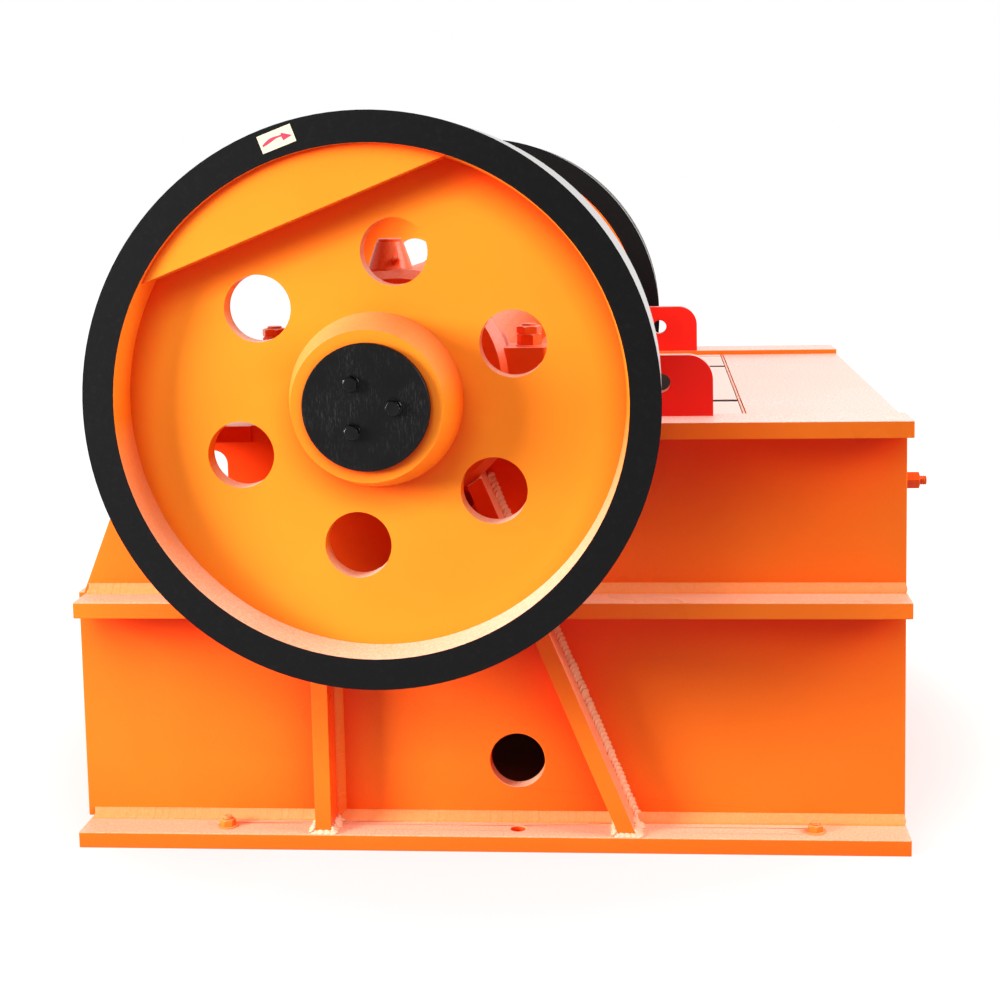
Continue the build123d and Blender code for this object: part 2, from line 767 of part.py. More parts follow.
# Eccentric shaft
with BuildPart() as eccentric_shaft:
    with BuildSketch(Plane.XZ.offset(-swing_half_w)):
        with Locations((shaft_x, shaft_z + eccentric_throw)):
            Circle(eccentric_r)
    extrude(amount=2 * swing_half_w)
    with BuildSketch(Plane.XZ.offset(-hub_inner)):
        with Locations((shaft_x, shaft_z)):
            Circle(journal_r)
    extrude(amount=2 * hub_inner)
    with BuildSketch(Plane.XZ.offset(-hub_face)):
        with Locations((shaft_x, shaft_z)):
            Circle(wheel_seat_r)
    extrude(amount=2 * hub_face)
eccentric_shaft.part.label = "eccentric_shaft"
export_step(eccentric_shaft.part, "parts/eccentric_shaft.step")

# Near flywheel: turned rim, drafted casting, web with round holes, hub and counterweight
rim_front_r = rim_inner_r - rim_draft * web_front_depth
rim_back_r = rim_inner_r - rim_draft * (web_back - wheel_back)
with BuildPart() as flywheel_near:
    with BuildSketch(shaft_plane) as wheel_section:
        Polygon(
            (wheel_seat_r, -hub_inner),
            (hub_front_r, -hub_inner),
            (hub_base_r, -web_back),
            (rim_back_r, -web_back),
            (rim_inner_r, -wheel_back),
            (wheel_r, -wheel_back),
            (wheel_r, -wheel_face),
            (rim_inner_r, -wheel_face),
            (rim_front_r, -web_front),
            (hub_base_r, -web_front),
            (hub_front_r, -hub_face),
            (wheel_seat_r, -hub_face),
            align=None,
        )
        rim_corners = vertices().filter_by(
            lambda v: rim_back_r - rim_chamfer < v.X - shaft_x < rim_front_r + rim_chamfer / 2
        )
        fillet(rim_corners, web_fillet)
        hub_corners = vertices().filter_by(
            lambda v: abs(v.X - shaft_x - hub_base_r) < hub_edge_fillet / 2
        )
        fillet(hub_corners, hub_fillet)
        hub_edges = vertices().filter_by(
            lambda v: abs(v.X - shaft_x - hub_front_r) < hub_edge_fillet / 2
        )
        fillet(hub_edges, hub_edge_fillet)
        tread_edges = vertices().filter_by(
            lambda v: abs(v.X - shaft_x - wheel_r) < rim_chamfer / 2
        )
        chamfer(tread_edges, rim_chamfer)
    revolve(axis=shaft_axis)
    with BuildSketch(Plane.XZ.offset(web_back)):
        with Locations((shaft_x, shaft_z)):
            with PolarLocations(
                wheel_hole_ring_r, wheel_hole_count, start_angle=wheel_hole_start_deg
            ):
                Circle(wheel_hole_r)
    extrude(amount=web_t, mode=Mode.SUBTRACT)
    with BuildSketch(Plane.XZ.offset(web_front - web_t / 2)):
        with Locations(Location((shaft_x, shaft_z), weight_angle_deg)):
            Circle(rim_inner_r + rim_chamfer)
            with Locations((weight_chord, 0)):
                Rectangle(
                    2 * wheel_r, 2 * wheel_r, align=(Align.MAX, Align.CENTER),
                    mode=Mode.SUBTRACT,
                )
    extrude(amount=wheel_face - weight_recess - web_front + web_t / 2)
flywheel_near.part.label = "flywheel_near"
export_step(flywheel_near.part, "parts/flywheel_near.step")

# Far flywheel: the same casting, with belt grooves turned in its rim
with BuildPart() as flywheel_far:
    mirror(flywheel_near.part, about=Plane.XZ)
    with BuildSketch(shaft_plane):
        for i in range(groove_count):
            groove_y = wheel_back + wheel_t / 2 + (i - (groove_count - 1) / 2) * groove_pitch
            Polygon(
                (wheel_r + rim_chamfer, groove_y - groove_top_w / 2),
                (wheel_r + rim_chamfer, groove_y + groove_top_w / 2),
                (wheel_r - groove_depth, groove_y + groove_bottom_w / 2),
                (wheel_r - groove_depth, groove_y - groove_bottom_w / 2),
                align=None,
            )
    revolve(axis=shaft_axis, mode=Mode.SUBTRACT)
flywheel_far.part.label = "flywheel_far"
export_step(flywheel_far.part, "parts/flywheel_far.step")

# End cap that holds each flywheel on the shaft
with BuildPart() as end_cap_near:
    with BuildSketch(Plane.XZ.offset(hub_face)):
        with Locations((shaft_x, shaft_z)):
            Circle(end_cap_r)
    extrude(amount=end_cap_t)
    chamfer(end_cap_near.edges().group_by(Axis.Y)[0], end_cap_chamfer)
end_cap_near.part.label = "end_cap_near"
export_step(end_cap_near.part, "parts/end_cap_near.step")

with BuildPart() as end_cap_far:
    mirror(end_cap_near.part, about=Plane.XZ)
end_cap_far.part.label = "end_cap_far"
export_step(end_cap_far.part, "parts/end_cap_far.step")
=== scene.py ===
"""Looks of a fixed single-toggle jaw crusher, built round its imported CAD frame."""

import json
import logging
import math
import random
from collections.abc import Callable
from dataclasses import dataclass, replace
from enum import Enum
from functools import partial
from typing import NamedTuple

import bpy
from mathutils import Matrix, Vector


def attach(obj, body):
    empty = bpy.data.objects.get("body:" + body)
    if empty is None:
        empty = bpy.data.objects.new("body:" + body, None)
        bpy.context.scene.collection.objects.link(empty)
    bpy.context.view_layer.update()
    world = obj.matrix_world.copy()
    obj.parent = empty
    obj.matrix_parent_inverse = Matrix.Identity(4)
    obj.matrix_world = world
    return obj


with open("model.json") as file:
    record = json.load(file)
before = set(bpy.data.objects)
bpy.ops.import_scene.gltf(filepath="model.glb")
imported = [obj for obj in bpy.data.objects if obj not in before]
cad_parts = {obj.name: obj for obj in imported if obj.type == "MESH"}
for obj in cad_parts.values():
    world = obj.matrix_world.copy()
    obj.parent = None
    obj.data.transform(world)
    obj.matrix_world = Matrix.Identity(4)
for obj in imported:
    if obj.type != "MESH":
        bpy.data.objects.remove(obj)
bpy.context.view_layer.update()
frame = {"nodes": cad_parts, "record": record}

LOG = logging.getLogger("jaw_crusher")
MM = 0.001
FULL_TURN = 2.0 * math.pi
WHITE = (1.0, 1.0, 1.0, 1.0)
UP = (0, 0, 1)
DOWN = (0, 0, -1)
# Angles over which the edges of a made piece stay sharp
SHARP_DEG = 35.0
FACET_DEG = 18.0
BEAD_DEG = 70.0
# Values between which most of a noise lies
NOISE_SPAN = (0.3, 0.7)
# How far a face's direction is lifted to look for the shelter above it, under which shade is painted
SKYWARD = (0.0, 0.0, 0.8)
SHELTER_SAMPLES = 8
ENAMEL_SPECULAR = 0.12

Point = tuple[float, float, float]
Pairs = tuple[tuple[float, float], ...]
Ring = list[Vector]
Node = bpy.types.Node
Source = Node | bpy.types.NodeSocket
Inputs = dict | list
Add = Callable[..., Node]


class Span(NamedTuple):
    """Range that a value has, from low to high, and the range that it is turned to, from start to end."""

    low: float = 0.0
    high: float = 1.0
    start: float = 0.0
    end: float | Node = 1.0


class Body(str, Enum):
    """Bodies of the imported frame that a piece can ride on."""

    FRAME = "frame"
    ROTOR = "rotor"


class Slot(str, Enum):
    """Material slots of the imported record."""

    FRAME = "orange_frame"
    CASTING = "orange_casting"
    LUG = "red_lug"
    MANGANESE = "manganese_steel"
    IRON = "grey_casting"
    WHEEL = "flywheel_paint"
    STEEL = "bare_steel"
    CAP = "black_cap"


class Side(Enum):
    """Sides of the machine, by the sign of Y."""

    NEAR = -1
    FAR = 1

    @property
    def label(self) -> str:
        """Side as it is written in the names of pieces."""
        return self.name.lower()


@dataclass(frozen=True)
class Layout:
    """Sizes of the CAD frame that the dressing follows, in millimetres."""

    front_x: float = 775.0
    base_rear_x: float = -766.0
    flange_rear_x: float = -757.0
    top_flange_rear_x: float = -545.0
    wall_out: float = 630.0
    flange_t: float = 30.0
    mid_flange_z: float = 439.0
    top_flange_z: float = 766.0
    rib_w: float = 80.0
    vertical_rib_x: float = -303.0
    vertical_rib_t: float = 30.0
    diagonal_rib_x: float = 262.0
    diagonal_rib_lean: float = 0.408
    diagonal_rib_t: float = 30.0
    diagonal_rib_top_z: float = 690.0
    shaft_x: float = -141.0
    shaft_z: float = 872.0
    cap_r: float = 203.0
    ear_reach: float = 270.0
    ear_top_z: float = 931.0
    housing_mid: float = 655.0
    housing_out: float = 710.0
    cover_t: float = 18.0
    boss_h: float = 48.0
    boss_shift: float = 17.0
    wheel_r: float = 472.0
    rim_inner_r: float = 420.5
    wheel_face: float = 1029.0
    cap_face: float = 1061.0

    @property
    def mid_flange_top(self) -> float:
        """Height of the middle flange's upper face."""
        return self.mid_flange_z + self.flange_t

    @property
    def diagonal_slope(self) -> float:
        """Length of the leaning rib for each unit of its height."""
        return math.hypot(1.0, self.diagonal_rib_lean)

    @property
    def diagonal_half(self) -> float:
        """Half of the leaning rib's thickness, measured along X."""
        return self.diagonal_rib_t / 2.0 * self.diagonal_slope

    def diagonal_x(self, z: float) -> float:
        """Middle of the leaning rib at a height, along X."""
        return self.diagonal_rib_x - self.diagonal_rib_lean * (z - self.flange_t)


PLAN = Layout()


def linear(code: str) -> tuple[float, float, float, float]:
    """Turns an sRGB hex colour to linear.

    Args:
        code: Colour as "#rrggbb".

    Returns:
        Linear red, green and blue with an alpha of 1.
    """
    parts = [int(code[i:i + 2], 16) / 255 for i in (1, 3, 5)]
    red, green, blue = (c / 12.92 if c <= 0.04045 else ((c + 0.055) / 1.055) ** 2.4 for c in parts)
    return red, green, blue, 1.0


def per_mm(size: float) -> float:
    """Texture scale for a pattern whose real size is given in millimetres."""
    return 1.0 / (size * MM)


def feed(node: Node, inputs: Inputs) -> None:
    """Gives the inputs of a node what they take.

    Args:
        node: Node that takes them.
        inputs: Values, sockets, or nodes whose first output is taken, by the input's name or in order.
    """
    for key, value in inputs.items() if isinstance(inputs, dict) else enumerate(inputs):
        source = value.outputs[0] if isinstance(value, Node) else value
        if isinstance(source, bpy.types.NodeSocket):
            node.id_data.links.new(source, node.inputs[key])
        else:
            node.inputs[key].default_value = source


def add_node(tree: bpy.types.NodeTree, kind: str, links: Inputs | None = None, **settings: object) -> Node:
    """Adds a shader node with its settings and links.

    Args:
        tree: Node tree that takes the node.
        kind: Type of the node, without "ShaderNode".
        links: What its inputs take, as in feed.
        **settings: Attributes of the node.

    Returns:
        The new node.
    """
    made = tree.nodes.new("ShaderNode" + kind)
    for key, value in settings.items():
        setattr(made, key, value)
    feed(made, links or {})
    return made


def paint_sheltered_shade(add: Add, open_tone: Source, shade_colour: str, reach_mm: float) -> Node:
    """Paints shade into a paint's colour: upright faces that the machine shelters from above take a deeper,
    redder tone as painted shade.

    Args:
        add: Adds a node to the paint.
        open_tone: Colour of the paint where no shade is painted.
        shade_colour: Colour painted as shade where the face is sheltered from above.
        reach_mm: How near a shelter has to be for shade to be painted.

    Returns:
        The colour to use.
    """
    normal = add("NewGeometry").outputs["Normal"]
    lifted = add("VectorMath", [normal, SKYWARD], operation="ADD")
    skyward = add("VectorMath", [lifted], operation="NORMALIZE")
    closed = add("AmbientOcclusion", {
        "Distance": reach_mm * MM, "Normal": skyward,
    }, samples=SHELTER_SAMPLES)
    share = add("MapRange", [closed.outputs["AO"], *Span(0.36, 0.88, 1.0, 0.0)])
    facing = add("SeparateXYZ", [normal])
    upright = add("MapRange", [facing.outputs["Z"], *Span(0.1, 0.6, 1.0, 0.0)])
    # Painted shade: the sheltered upright faces take the shade colour
    shade_share = add("Math", [share, upright], operation="MULTIPLY")
    return add("MixRGB", [shade_share, open_tone, linear(shade_colour)])


def lay_dust_and_top_light(add: Add, tone: Source, dust: str, cover: float) -> Node:
    """Lays a pale dusting of stone on what faces up, in grains that are drawn coarse enough to show; its
    paleness is also painted top light.

    Args:
        add: Adds a node to the paint.
        tone: Colour of the clean paint.
        dust: Colour of the dusting, pale also as painted top light.
        cover: Share of a level face that it hides.

    Returns:
        The colour to use.
    """
    coord = add("TexCoord")
    facing = add("SeparateXYZ", [coord.outputs["Normal"]])
    grit = add("TexNoise", {
        "Vector": coord.outputs["Object"], "Scale": per_mm(5.0), "Detail": 4.0, "Roughness": 0.7,
    })
    # Faces that look up take the dusting and the painted top light
    lying = add("MapRange", [facing.outputs["Z"], *Span(0.05, 0.8, end=cover)])
    grains = add("MapRange", [grit, *Span(0.35, 0.65, 0.6, 1.2)])
    dusty_top_lit = add("Math", [lying, grains], operation="MULTIPLY", use_clamp=True)
    return add("MixRGB", [dusty_top_lit, tone, linear(dust)])


def sight(add: Add) -> tuple[Source, Node, Node]:
    """Tells the rays that show something from those that only light it.

    Args:
        add: Adds a node to the floor or the world.

    Returns:
        Whether a ray comes from the camera, from a mirror or glass, and from any of these.
    """
    path = add("LightPath").outputs
    camera = path["Is Camera Ray"]
    mirror = add("Math", [path["Is Glossy Ray"], path["Is Transmission Ray"]], operation="MAXIMUM")
    return camera, mirror, add("Math", [camera, mirror], operation="MAXIMUM")


@dataclass(frozen=True)
class Mottle:
    """Soft patches of a second tone, from where a noise passes low to where it passes high."""

    size_mm: float
    detail: float
    low: float
    high: float
    most: float
    roughness: float = 0.5

    def blend(self, add: Add, place: Source, tone: str, patch: str) -> tuple[Node, Node]:
        """Adds the patches to a finish.

        Args:
            add: Adds a node to the finish.
            place: Coordinates that the patches follow.
            tone: Colour of the surface.
            patch: Colour of the patches.

        Returns:
            The noise behind the patches, and the mixed colour.
        """
        noise = add("TexNoise", {
            "Vector": place, "Scale": per_mm(self.size_mm),
            "Detail": self.detail, "Roughness": self.roughness,
        })
        share = add("MapRange", [noise, *Span(self.low, self.high, end=self.most)])
        return noise, add("MixRGB", [share, linear(tone), linear(patch)])


@dataclass(frozen=True)
class Relief:
    """Fine unevenness of a surface, drawn as a bump."""

    size_mm: float
    detail: float
    strength: float
    depth_mm: float
    roughness: float = 0.5

    def shape(self, add: Add, place: Source) -> tuple[Node, Node]:
        """Adds the unevenness to a finish.

        Args:
            add: Adds a node to the finish.
            place: Coordinates that it follows.

        Returns:
            The noise behind it, and the bump.
        """
        noise = add("TexNoise", {
            "Vector": place, "Scale": per_mm(self.size_mm),
            "Detail": self.detail, "Roughness": self.roughness,
        })
        return noise, add("Bump", {
            "Height": noise, "Strength": self.strength, "Distance": self.depth_mm * MM,
        })


@dataclass(frozen=True)
class Finish:
    """Finish of a surface, made once as a node material."""

    name: str

    def material(self) -> bpy.types.Material:
        """Makes the finish's material, or returns the one already made."""
        if self.name in bpy.data.materials:
            return bpy.data.materials[self.name]
        made = bpy.data.materials.new(self.name)
        made.use_nodes = True
        add = partial(add_node, made.node_tree)
        coord = add("TexCoord").outputs
        shader = made.node_tree.nodes["Principled BSDF"]
        feed(shader, self.paint(add, coord["Object"], coord["Normal"]))
        return made

    def paint(self, add: Add, place: Source, normal: Source) -> dict:
        """Adds the nodes that give the finish its look.

        Args:
            add: Adds a node to the material.
            place: Coordinates of the object.
            normal: Direction that the surface faces.

        Returns:
            What each input of the main shader takes.
        """
        raise NotImplementedError


@dataclass(frozen=True)
class SprayedEnamel(Finish):
    """Alkyd enamel sprayed on rolled plate: a soft gloss, with faint mottling and orange peel."""

    colour: str
    thin: str
    # Deeper tone painted as shade on sheltered upright faces
    shade_colour: str
    # Pale colour of faces that look up: dusting and painted top light
    dust: str = "#f6d0b6"
    dust_and_light_cover: float = 0.75
    roughness: float = 0.28
    gloss: tuple[float, float] = (-0.05, 0.1)
    gloss_on_skin: bool = False
    # How near a shelter has to be for shade to be painted
    shade_reach_mm: float = 300.0
    coat: float = 0.0
    coat_roughness: float = 0.03
    mottle: Mottle = Mottle(330.0, 3.0, low=0.35, high=0.75, most=0.45, roughness=0.55)
    skin: Relief = Relief(7.0, 2.0, strength=0.35, depth_mm=0.25)

    def paint(self, add: Add, place: Source, normal: Source) -> dict:
        """Adds the enamel's nodes, as Finish says."""
        mottle, coat = self.mottle.blend(add, place, self.colour, self.thin)
        skin, bump = self.skin.shape(add, place)
        smooth, rough = (self.roughness + change for change in self.gloss)
        sheen = add("MapRange", [skin if self.gloss_on_skin else mottle, *Span(*NOISE_SPAN, smooth, rough)])
        # Painted shade: sheltered upright faces take the deeper tone
        tone = paint_sheltered_shade(add, coat, self.shade_colour, self.shade_reach_mm)
        return {
            "Base Color": lay_dust_and_top_light(add, tone, self.dust, self.dust_and_light_cover),
            "Roughness": sheen,
            "Normal": bump,
            "Specular IOR Level": ENAMEL_SPECULAR,
            "Coat Weight": self.coat,
            "Coat Roughness": self.coat_roughness,
        }


@dataclass(frozen=True)
class CastEnamel(SprayedEnamel):
    """Enamel brushed over a sand casting: the pitted skin of the mould shows through the gloss."""

    # Less dusting and painted top light on castings
    dust: str = "#f8d8c4"
    dust_and_light_cover: float = 0.35
    roughness: float = 0.30
    gloss: tuple[float, float] = (-0.06, 0.08)
    gloss_on_skin: bool = True
    # Painted shade reaches less far on castings
    shade_reach_mm: float = 120.0
    coat: float = 0.15
    coat_roughness: float = 0.16
    mottle: Mottle = Mottle(240.0, 4.0, low=0.35, high=0.7, most=0.5)
    skin: Relief = Relief(6.0, 3.0, strength=0.4, depth_mm=0.5, roughness=0.6)


@dataclass(frozen=True)
class FlywheelEnamel(Finish):
    """Painted flywheel casting: orange web, black rim faces and a rim turned bright on the lathe."""

    name: str = "enamelled_flywheel_casting"
    web: str = "#ff9a2a"
    web_thin: str = "#fd9024"
    # Deeper tone painted as shade on the web where the rim and the weight shelter it
    shade_colour: str = "#f0480e"
    black: str = "#0a0a0b"
    black_worn: str = "#18191b"
    turned: str = "#bebdbb"
    # Pale colour of what faces up inside the rim: dusting and painted top light
    dust: str = "#fde6d6"
    dust_and_light_cover: float = 0.8
    # Share of the dusting and painted top light that is left on the hub
    hub_dust: float = 0.22
    swept_r: float = 190.0
    swept_edge: float = 10.0
    # How near a shelter has to be for shade to be painted
    shade_reach_mm: float = 75.0
    side_on: float = 0.95
    rim_margin: float = 1.0
    tread_depth: float = 27.0
    feed_mm: float = 2.4
    feed_height: float = 0.12
    skin_mm: float = 6.0
    skin_depth_mm: float = 0.4
    mottle: Mottle = Mottle(260.0, 4.0, low=0.35, high=0.7, most=0.6)
    chips: Mottle = Mottle(9.0, 6.0, low=0.52, high=0.72, most=0.6, roughness=0.75)

    def paint(self, add: Add, place: Source, normal: Source) -> dict:
        """Adds the flywheel paint's nodes, as Finish says."""
        from_axis = add("VectorMath", [
            place, (PLAN.shaft_x * MM, 0.0, PLAN.shaft_z * MM),
        ], operation="SUBTRACT")
        flat = add("VectorMath", [from_axis, (1.0, 0.0, 1.0)], operation="MULTIPLY")
        radius = add("VectorMath", [flat], operation="LENGTH").outputs["Value"]
        facing = add("SeparateXYZ", [normal])
        sideways = add("Math", [facing.outputs["Y"]], operation="ABSOLUTE")
        on_face = add("Math", [sideways, self.side_on], operation="GREATER_THAN")
        past_inner = add("Math", [
            radius, (PLAN.rim_inner_r - self.rim_margin) * MM,
        ], operation="GREATER_THAN")
        rim_face = add("Math", [on_face, past_inner], operation="MULTIPLY")
        outer = add("Math", [radius, (PLAN.wheel_r - self.tread_depth) * MM], operation="GREATER_THAN")
        tread = add("Math", [outer, on_face], operation="SUBTRACT", use_clamp=True)
        _, web = self.mottle.blend(add, place, self.web, self.web_thin)
        scuff, black = self.chips.blend(add, place, self.black, self.black_worn)
        # Painted shade on the sheltered web
        tone = paint_sheltered_shade(add, web, self.shade_colour, self.shade_reach_mm)
        # Dusting and painted top light, kept thinner on the hub
        past_hub = add("MapRange", [
            radius, *Span((self.swept_r - self.swept_edge) * MM, self.swept_r * MM, start=self.hub_dust),
        ])
        dusty_top_lit = add("MixRGB", [past_hub, tone, lay_dust_and_top_light(add, tone, self.dust, self.dust_and_light_cover)])
        painted = add("MixRGB", [rim_face, dusty_top_lit, black])
        colour = add("MixRGB", [tread, painted, linear(self.turned)])
        # Lathe feed marks run round the rim, drawn wider than the real ones so that they show
        across = add("SeparateXYZ", [place])
        travel = add("Math", [across.outputs["Y"], radius], operation="ADD")
        turns = add("Math", [travel, FULL_TURN * per_mm(self.feed_mm)], operation="MULTIPLY")
        wave = add("Math", [turns], operation="SINE")
        ridge = add("Math", [wave, past_inner], operation="MULTIPLY")
        skin = add("TexNoise", {
            "Vector": place, "Scale": per_mm(self.skin_mm), "Detail": 3.0, "Roughness": 0.6,
        })
        height = add("Math", [ridge, self.feed_height, skin], operation="MULTIPLY_ADD")
        bump = add("Bump", {"Height": height, "Strength": 0.35, "Distance": self.skin_depth_mm * MM})
        rough = add("MapRange", [rim_face, *Span(start=0.26, end=0.4)])
        for rougher, share in ((scuff, 0.08), (tread, 0.12)):
            rough = add("Math", [rougher, share, rough], operation="MULTIPLY_ADD")
        return {
            "Base Color": colour, "Metallic": tread, "Roughness": rough, "Normal": bump,
            "Specular IOR Level": ENAMEL_SPECULAR,
        }


@dataclass(frozen=True)
class CastSteel(Finish):
    """Bare casting as it leaves the sand: dark scale, brown where it has begun to rust."""

    scale: str
    rust: str
    # Near-white colour of faces that look up: paint, dusting and painted top light
    top_paint_dust_and_light: str | None = None
    level: float = 0.8
    bloom: Mottle = Mottle(45.0, 6.0, low=0.45, high=0.7, most=0.45, roughness=0.65)
    skin: Relief = Relief(5.0, 5.0, strength=0.55, depth_mm=0.8, roughness=0.65)

    def paint(self, add: Add, place: Source, normal: Source) -> dict:
        """Adds the bare casting's nodes, as Finish says."""
        noise, colour = self.bloom.blend(add, place, self.scale, self.rust)
        metal = add("MapRange", [noise, *Span(self.bloom.low, self.bloom.high, 0.8, 0.25)])
        if self.top_paint_dust_and_light:
            facing = add("SeparateXYZ", [normal])
            top = add("Math", [facing.outputs["Z"], self.level], operation="GREATER_THAN")
            colour = add("MixRGB", [top, colour, linear(self.top_paint_dust_and_light)])
            metal = add("Math", [metal, top], operation="SUBTRACT", use_clamp=True)
        skin, bump = self.skin.shape(add, place)
        rough = add("MapRange", [skin, *Span(*NOISE_SPAN, 0.42, 0.62)])
        return {"Base Color": colour, "Metallic": metal, "Roughness": rough, "Normal": bump}


@dataclass(frozen=True)
class MachinedSteel(Finish):
    """Steel turned or milled bright: fine tool marks along one axis and a thin film of oil."""

    colour: str
    stain: str
    roughness: float = 0.3
    mark_mm: float = 3.0
    mark_depth_mm: float = 0.2
    film: Mottle = Mottle(35.0, 5.0, low=0.45, high=0.75, most=0.7)

    def paint(self, add: Add, place: Source, normal: Source) -> dict:
        """Adds the machined steel's nodes, as Finish says."""
        film, colour = self.film.blend(add, place, self.colour, self.stain)
        across = add("SeparateXYZ", [place])
        turns = add("Math", [across.outputs["Y"], FULL_TURN * per_mm(self.mark_mm)], operation="MULTIPLY")
        wave = add("Math", [turns], operation="SINE")
        bump = add("Bump", {"Height": wave, "Strength": 0.15, "Distance": self.mark_depth_mm * MM})
        rough = add("MapRange", [film, *Span(*NOISE_SPAN, self.roughness - 0.06, self.roughness + 0.14)])
        return {"Base Color": colour, "Roughness": rough, "Normal": bump, "Metallic": 1.0}


@dataclass(frozen=True)
class ScratchedBlack(Finish):
    """Black paint on a turned disc, rubbed by handling: short grey strokes, nearly upright, and specks."""

    name: str = "black_enamel_scratched"
    colour: str = "#0c0c0d"
    scratch: str = "#47474a"
    rubbed_mm: float = 60.0
    stroke_mm: float = 0.9
    speck_mm: float = 2.2
    coarser: float = 2.0
    mark_depth_mm: float = 0.1
    strokes: Pairs = ((9.0, 0.12), (24.0, 0.2))

    def paint(self, add: Add, place: Source, normal: Source) -> dict:
        """Adds the scratched paint's nodes, as Finish says."""
        rubbed = add("TexNoise", {"Vector": place, "Scale": per_mm(self.rubbed_mm), "Detail": 2.0})
        where = add("MapRange", [rubbed, *Span(0.36, 0.62, end=0.55)])
        # Strokes and specks are drawn coarser than the real ones so that they show
        grain = add("TexNoise", {
            "Vector": place, "Scale": per_mm(self.speck_mm * self.coarser), "Detail": 3.0,
        })
        marks = add("MapRange", [grain, *Span(0.66, 0.78, end=0.8)])
        for lean_deg, spread in self.strokes:
            turned = add("Mapping", {
                "Vector": place, "Rotation": (0.0, math.radians(lean_deg), 0.0), "Scale": (1.0, 1.0, spread),
            })
            stroke = add("TexNoise", {
                "Vector": turned, "Scale": per_mm(self.stroke_mm * self.coarser), "Detail": 2.0,
            })
            line = add("MapRange", [stroke, *Span(0.57, 0.75, end=0.75)])
            marks = add("Math", [marks, line], operation="MAXIMUM")
        cut = add("Math", [marks, where], operation="MULTIPLY")
        colour = add("MixRGB", [cut, linear(self.colour), linear(self.scratch)])
        rough = add("MapRange", [rubbed, *Span(*NOISE_SPAN, 0.4, 0.55)])
        bump = add("Bump", {"Height": cut, "Strength": 0.2, "Distance": self.mark_depth_mm * MM})
        return {
            "Base Color": colour, "Roughness": rough, "Normal": bump, "Specular IOR Level": ENAMEL_SPECULAR,
        }


@dataclass(frozen=True)
class CoatedPaper(Finish):
    """Printed self-adhesive paper: matt, with a faint fibre and ink that lies a little uneven."""

    colour: str
    aged: str
    roughness: float = 0.55
    fibre_depth_mm: float = 0.1
    fibre: Mottle = Mottle(3.0, 5.0, low=0.4, high=0.75, most=0.6)

    def paint(self, add: Add, place: Source, normal: Source) -> dict:
        """Adds the paper's nodes, as Finish says."""
        fibre, colour = self.fibre.blend(add, place, self.colour, self.aged)
        bump = add("Bump", {"Height": fibre, "Strength": 0.1, "Distance": self.fibre_depth_mm * MM})
        return {"Base Color": colour, "Normal": bump, "Roughness": self.roughness}


@dataclass(frozen=True)
class StudioFloor(Finish):
    """Matt floor, white to the eye away from the machine and a little dimmer round it to keep its shadow."""

    name: str = "pale_studio_floor"
    tone: str = "#8e8e8e"
    spread: Point = (1.0 / 0.9, 1.0, 0.0)
    # Distance at which the floor begins to turn white, where it ends, and by how much
    lifts: tuple[Point, Point] = ((0.45, 0.75, 0.62), (0.9, 1.6, 0.4))

    def paint(self, add: Add, place: Source, normal: Source) -> dict:
        """Adds the floor's nodes, as Finish says."""
        _, _, seen = sight(add)
        spread = add("VectorMath", [place, self.spread], operation="MULTIPLY")
        away = add("VectorMath", [spread], operation="LENGTH").outputs["Value"]
        near, far = (
            add("MapRange", [away, *Span(low, high, end=lift)], interpolation_type="SMOOTHSTEP")
            for low, high, lift in self.lifts
        )
        white = add("Math", [near, far], operation="ADD")
        return {
            "Base Color": linear(self.tone),
            "Roughness": 0.9,
            "Specular IOR Level": 0.0,
            "Emission Color": WHITE,
            "Emission Strength": add("Math", [seen, white], operation="MULTIPLY"),
        }


# The third colour of each enamel is the deeper tone painted as shade on sheltered upright faces
PLATE_ENAMEL = SprayedEnamel("orange_enamel_sprayed_plate", "#fd8022", "#fb761c", "#f8420e")
# Deck and top flanges round the feed mouth: more dusting and paler painted top light
DUSTY_TOP_LIT_ENAMEL = replace(PLATE_ENAMEL, name="orange_enamel_under_stone_dust", dust="#fdf0ea", dust_and_light_cover=0.86)
# The castings' orange is redder than the plates': partly painted shade, as most castings lie in shade behind
# the wheel
CASTING_ENAMEL = CastEnamel("orange_enamel_brushed_casting", "#fa6420", "#f4581a", "#fb4012")
STUD_ENAMEL = CastEnamel("orange_red_enamel_on_studs", "#e85c14", "#de5210", "#cc480c", dust_and_light_cover=0.0)
BEAD_SKIN = replace(CASTING_ENAMEL.skin, size_mm=3.0)
BEAD_ENAMEL = CastEnamel(
    "orange_enamel_over_weld", "#fe8e2c", "#fb7e24", "#f85016", dust_and_light_cover=0.2, roughness=0.28,
    skin=BEAD_SKIN,
)
# Pale paint on the leaning ribs' welds: a painted highlight on their ripples, with some dusting
HIGHLIGHT_PAINTED_BEAD = CastEnamel(
    "orange_enamel_worn_over_weld", "#ffcaa8", "#feb084", "#fb9a64", dust_and_light_cover=0.3, roughness=0.22,
    skin=BEAD_SKIN,
)
BOLT_STEEL = MachinedSteel("black_oxide_bolt_steel", "#262627", "#1b1b1b", roughness=0.22)
STICKER_PAPER = CoatedPaper("cream_sticker_paper", "#efe9cc", "#e8dfb8")
STICKER_INK = CoatedPaper("red_printed_ink", "#c8335a", "#c02c52")

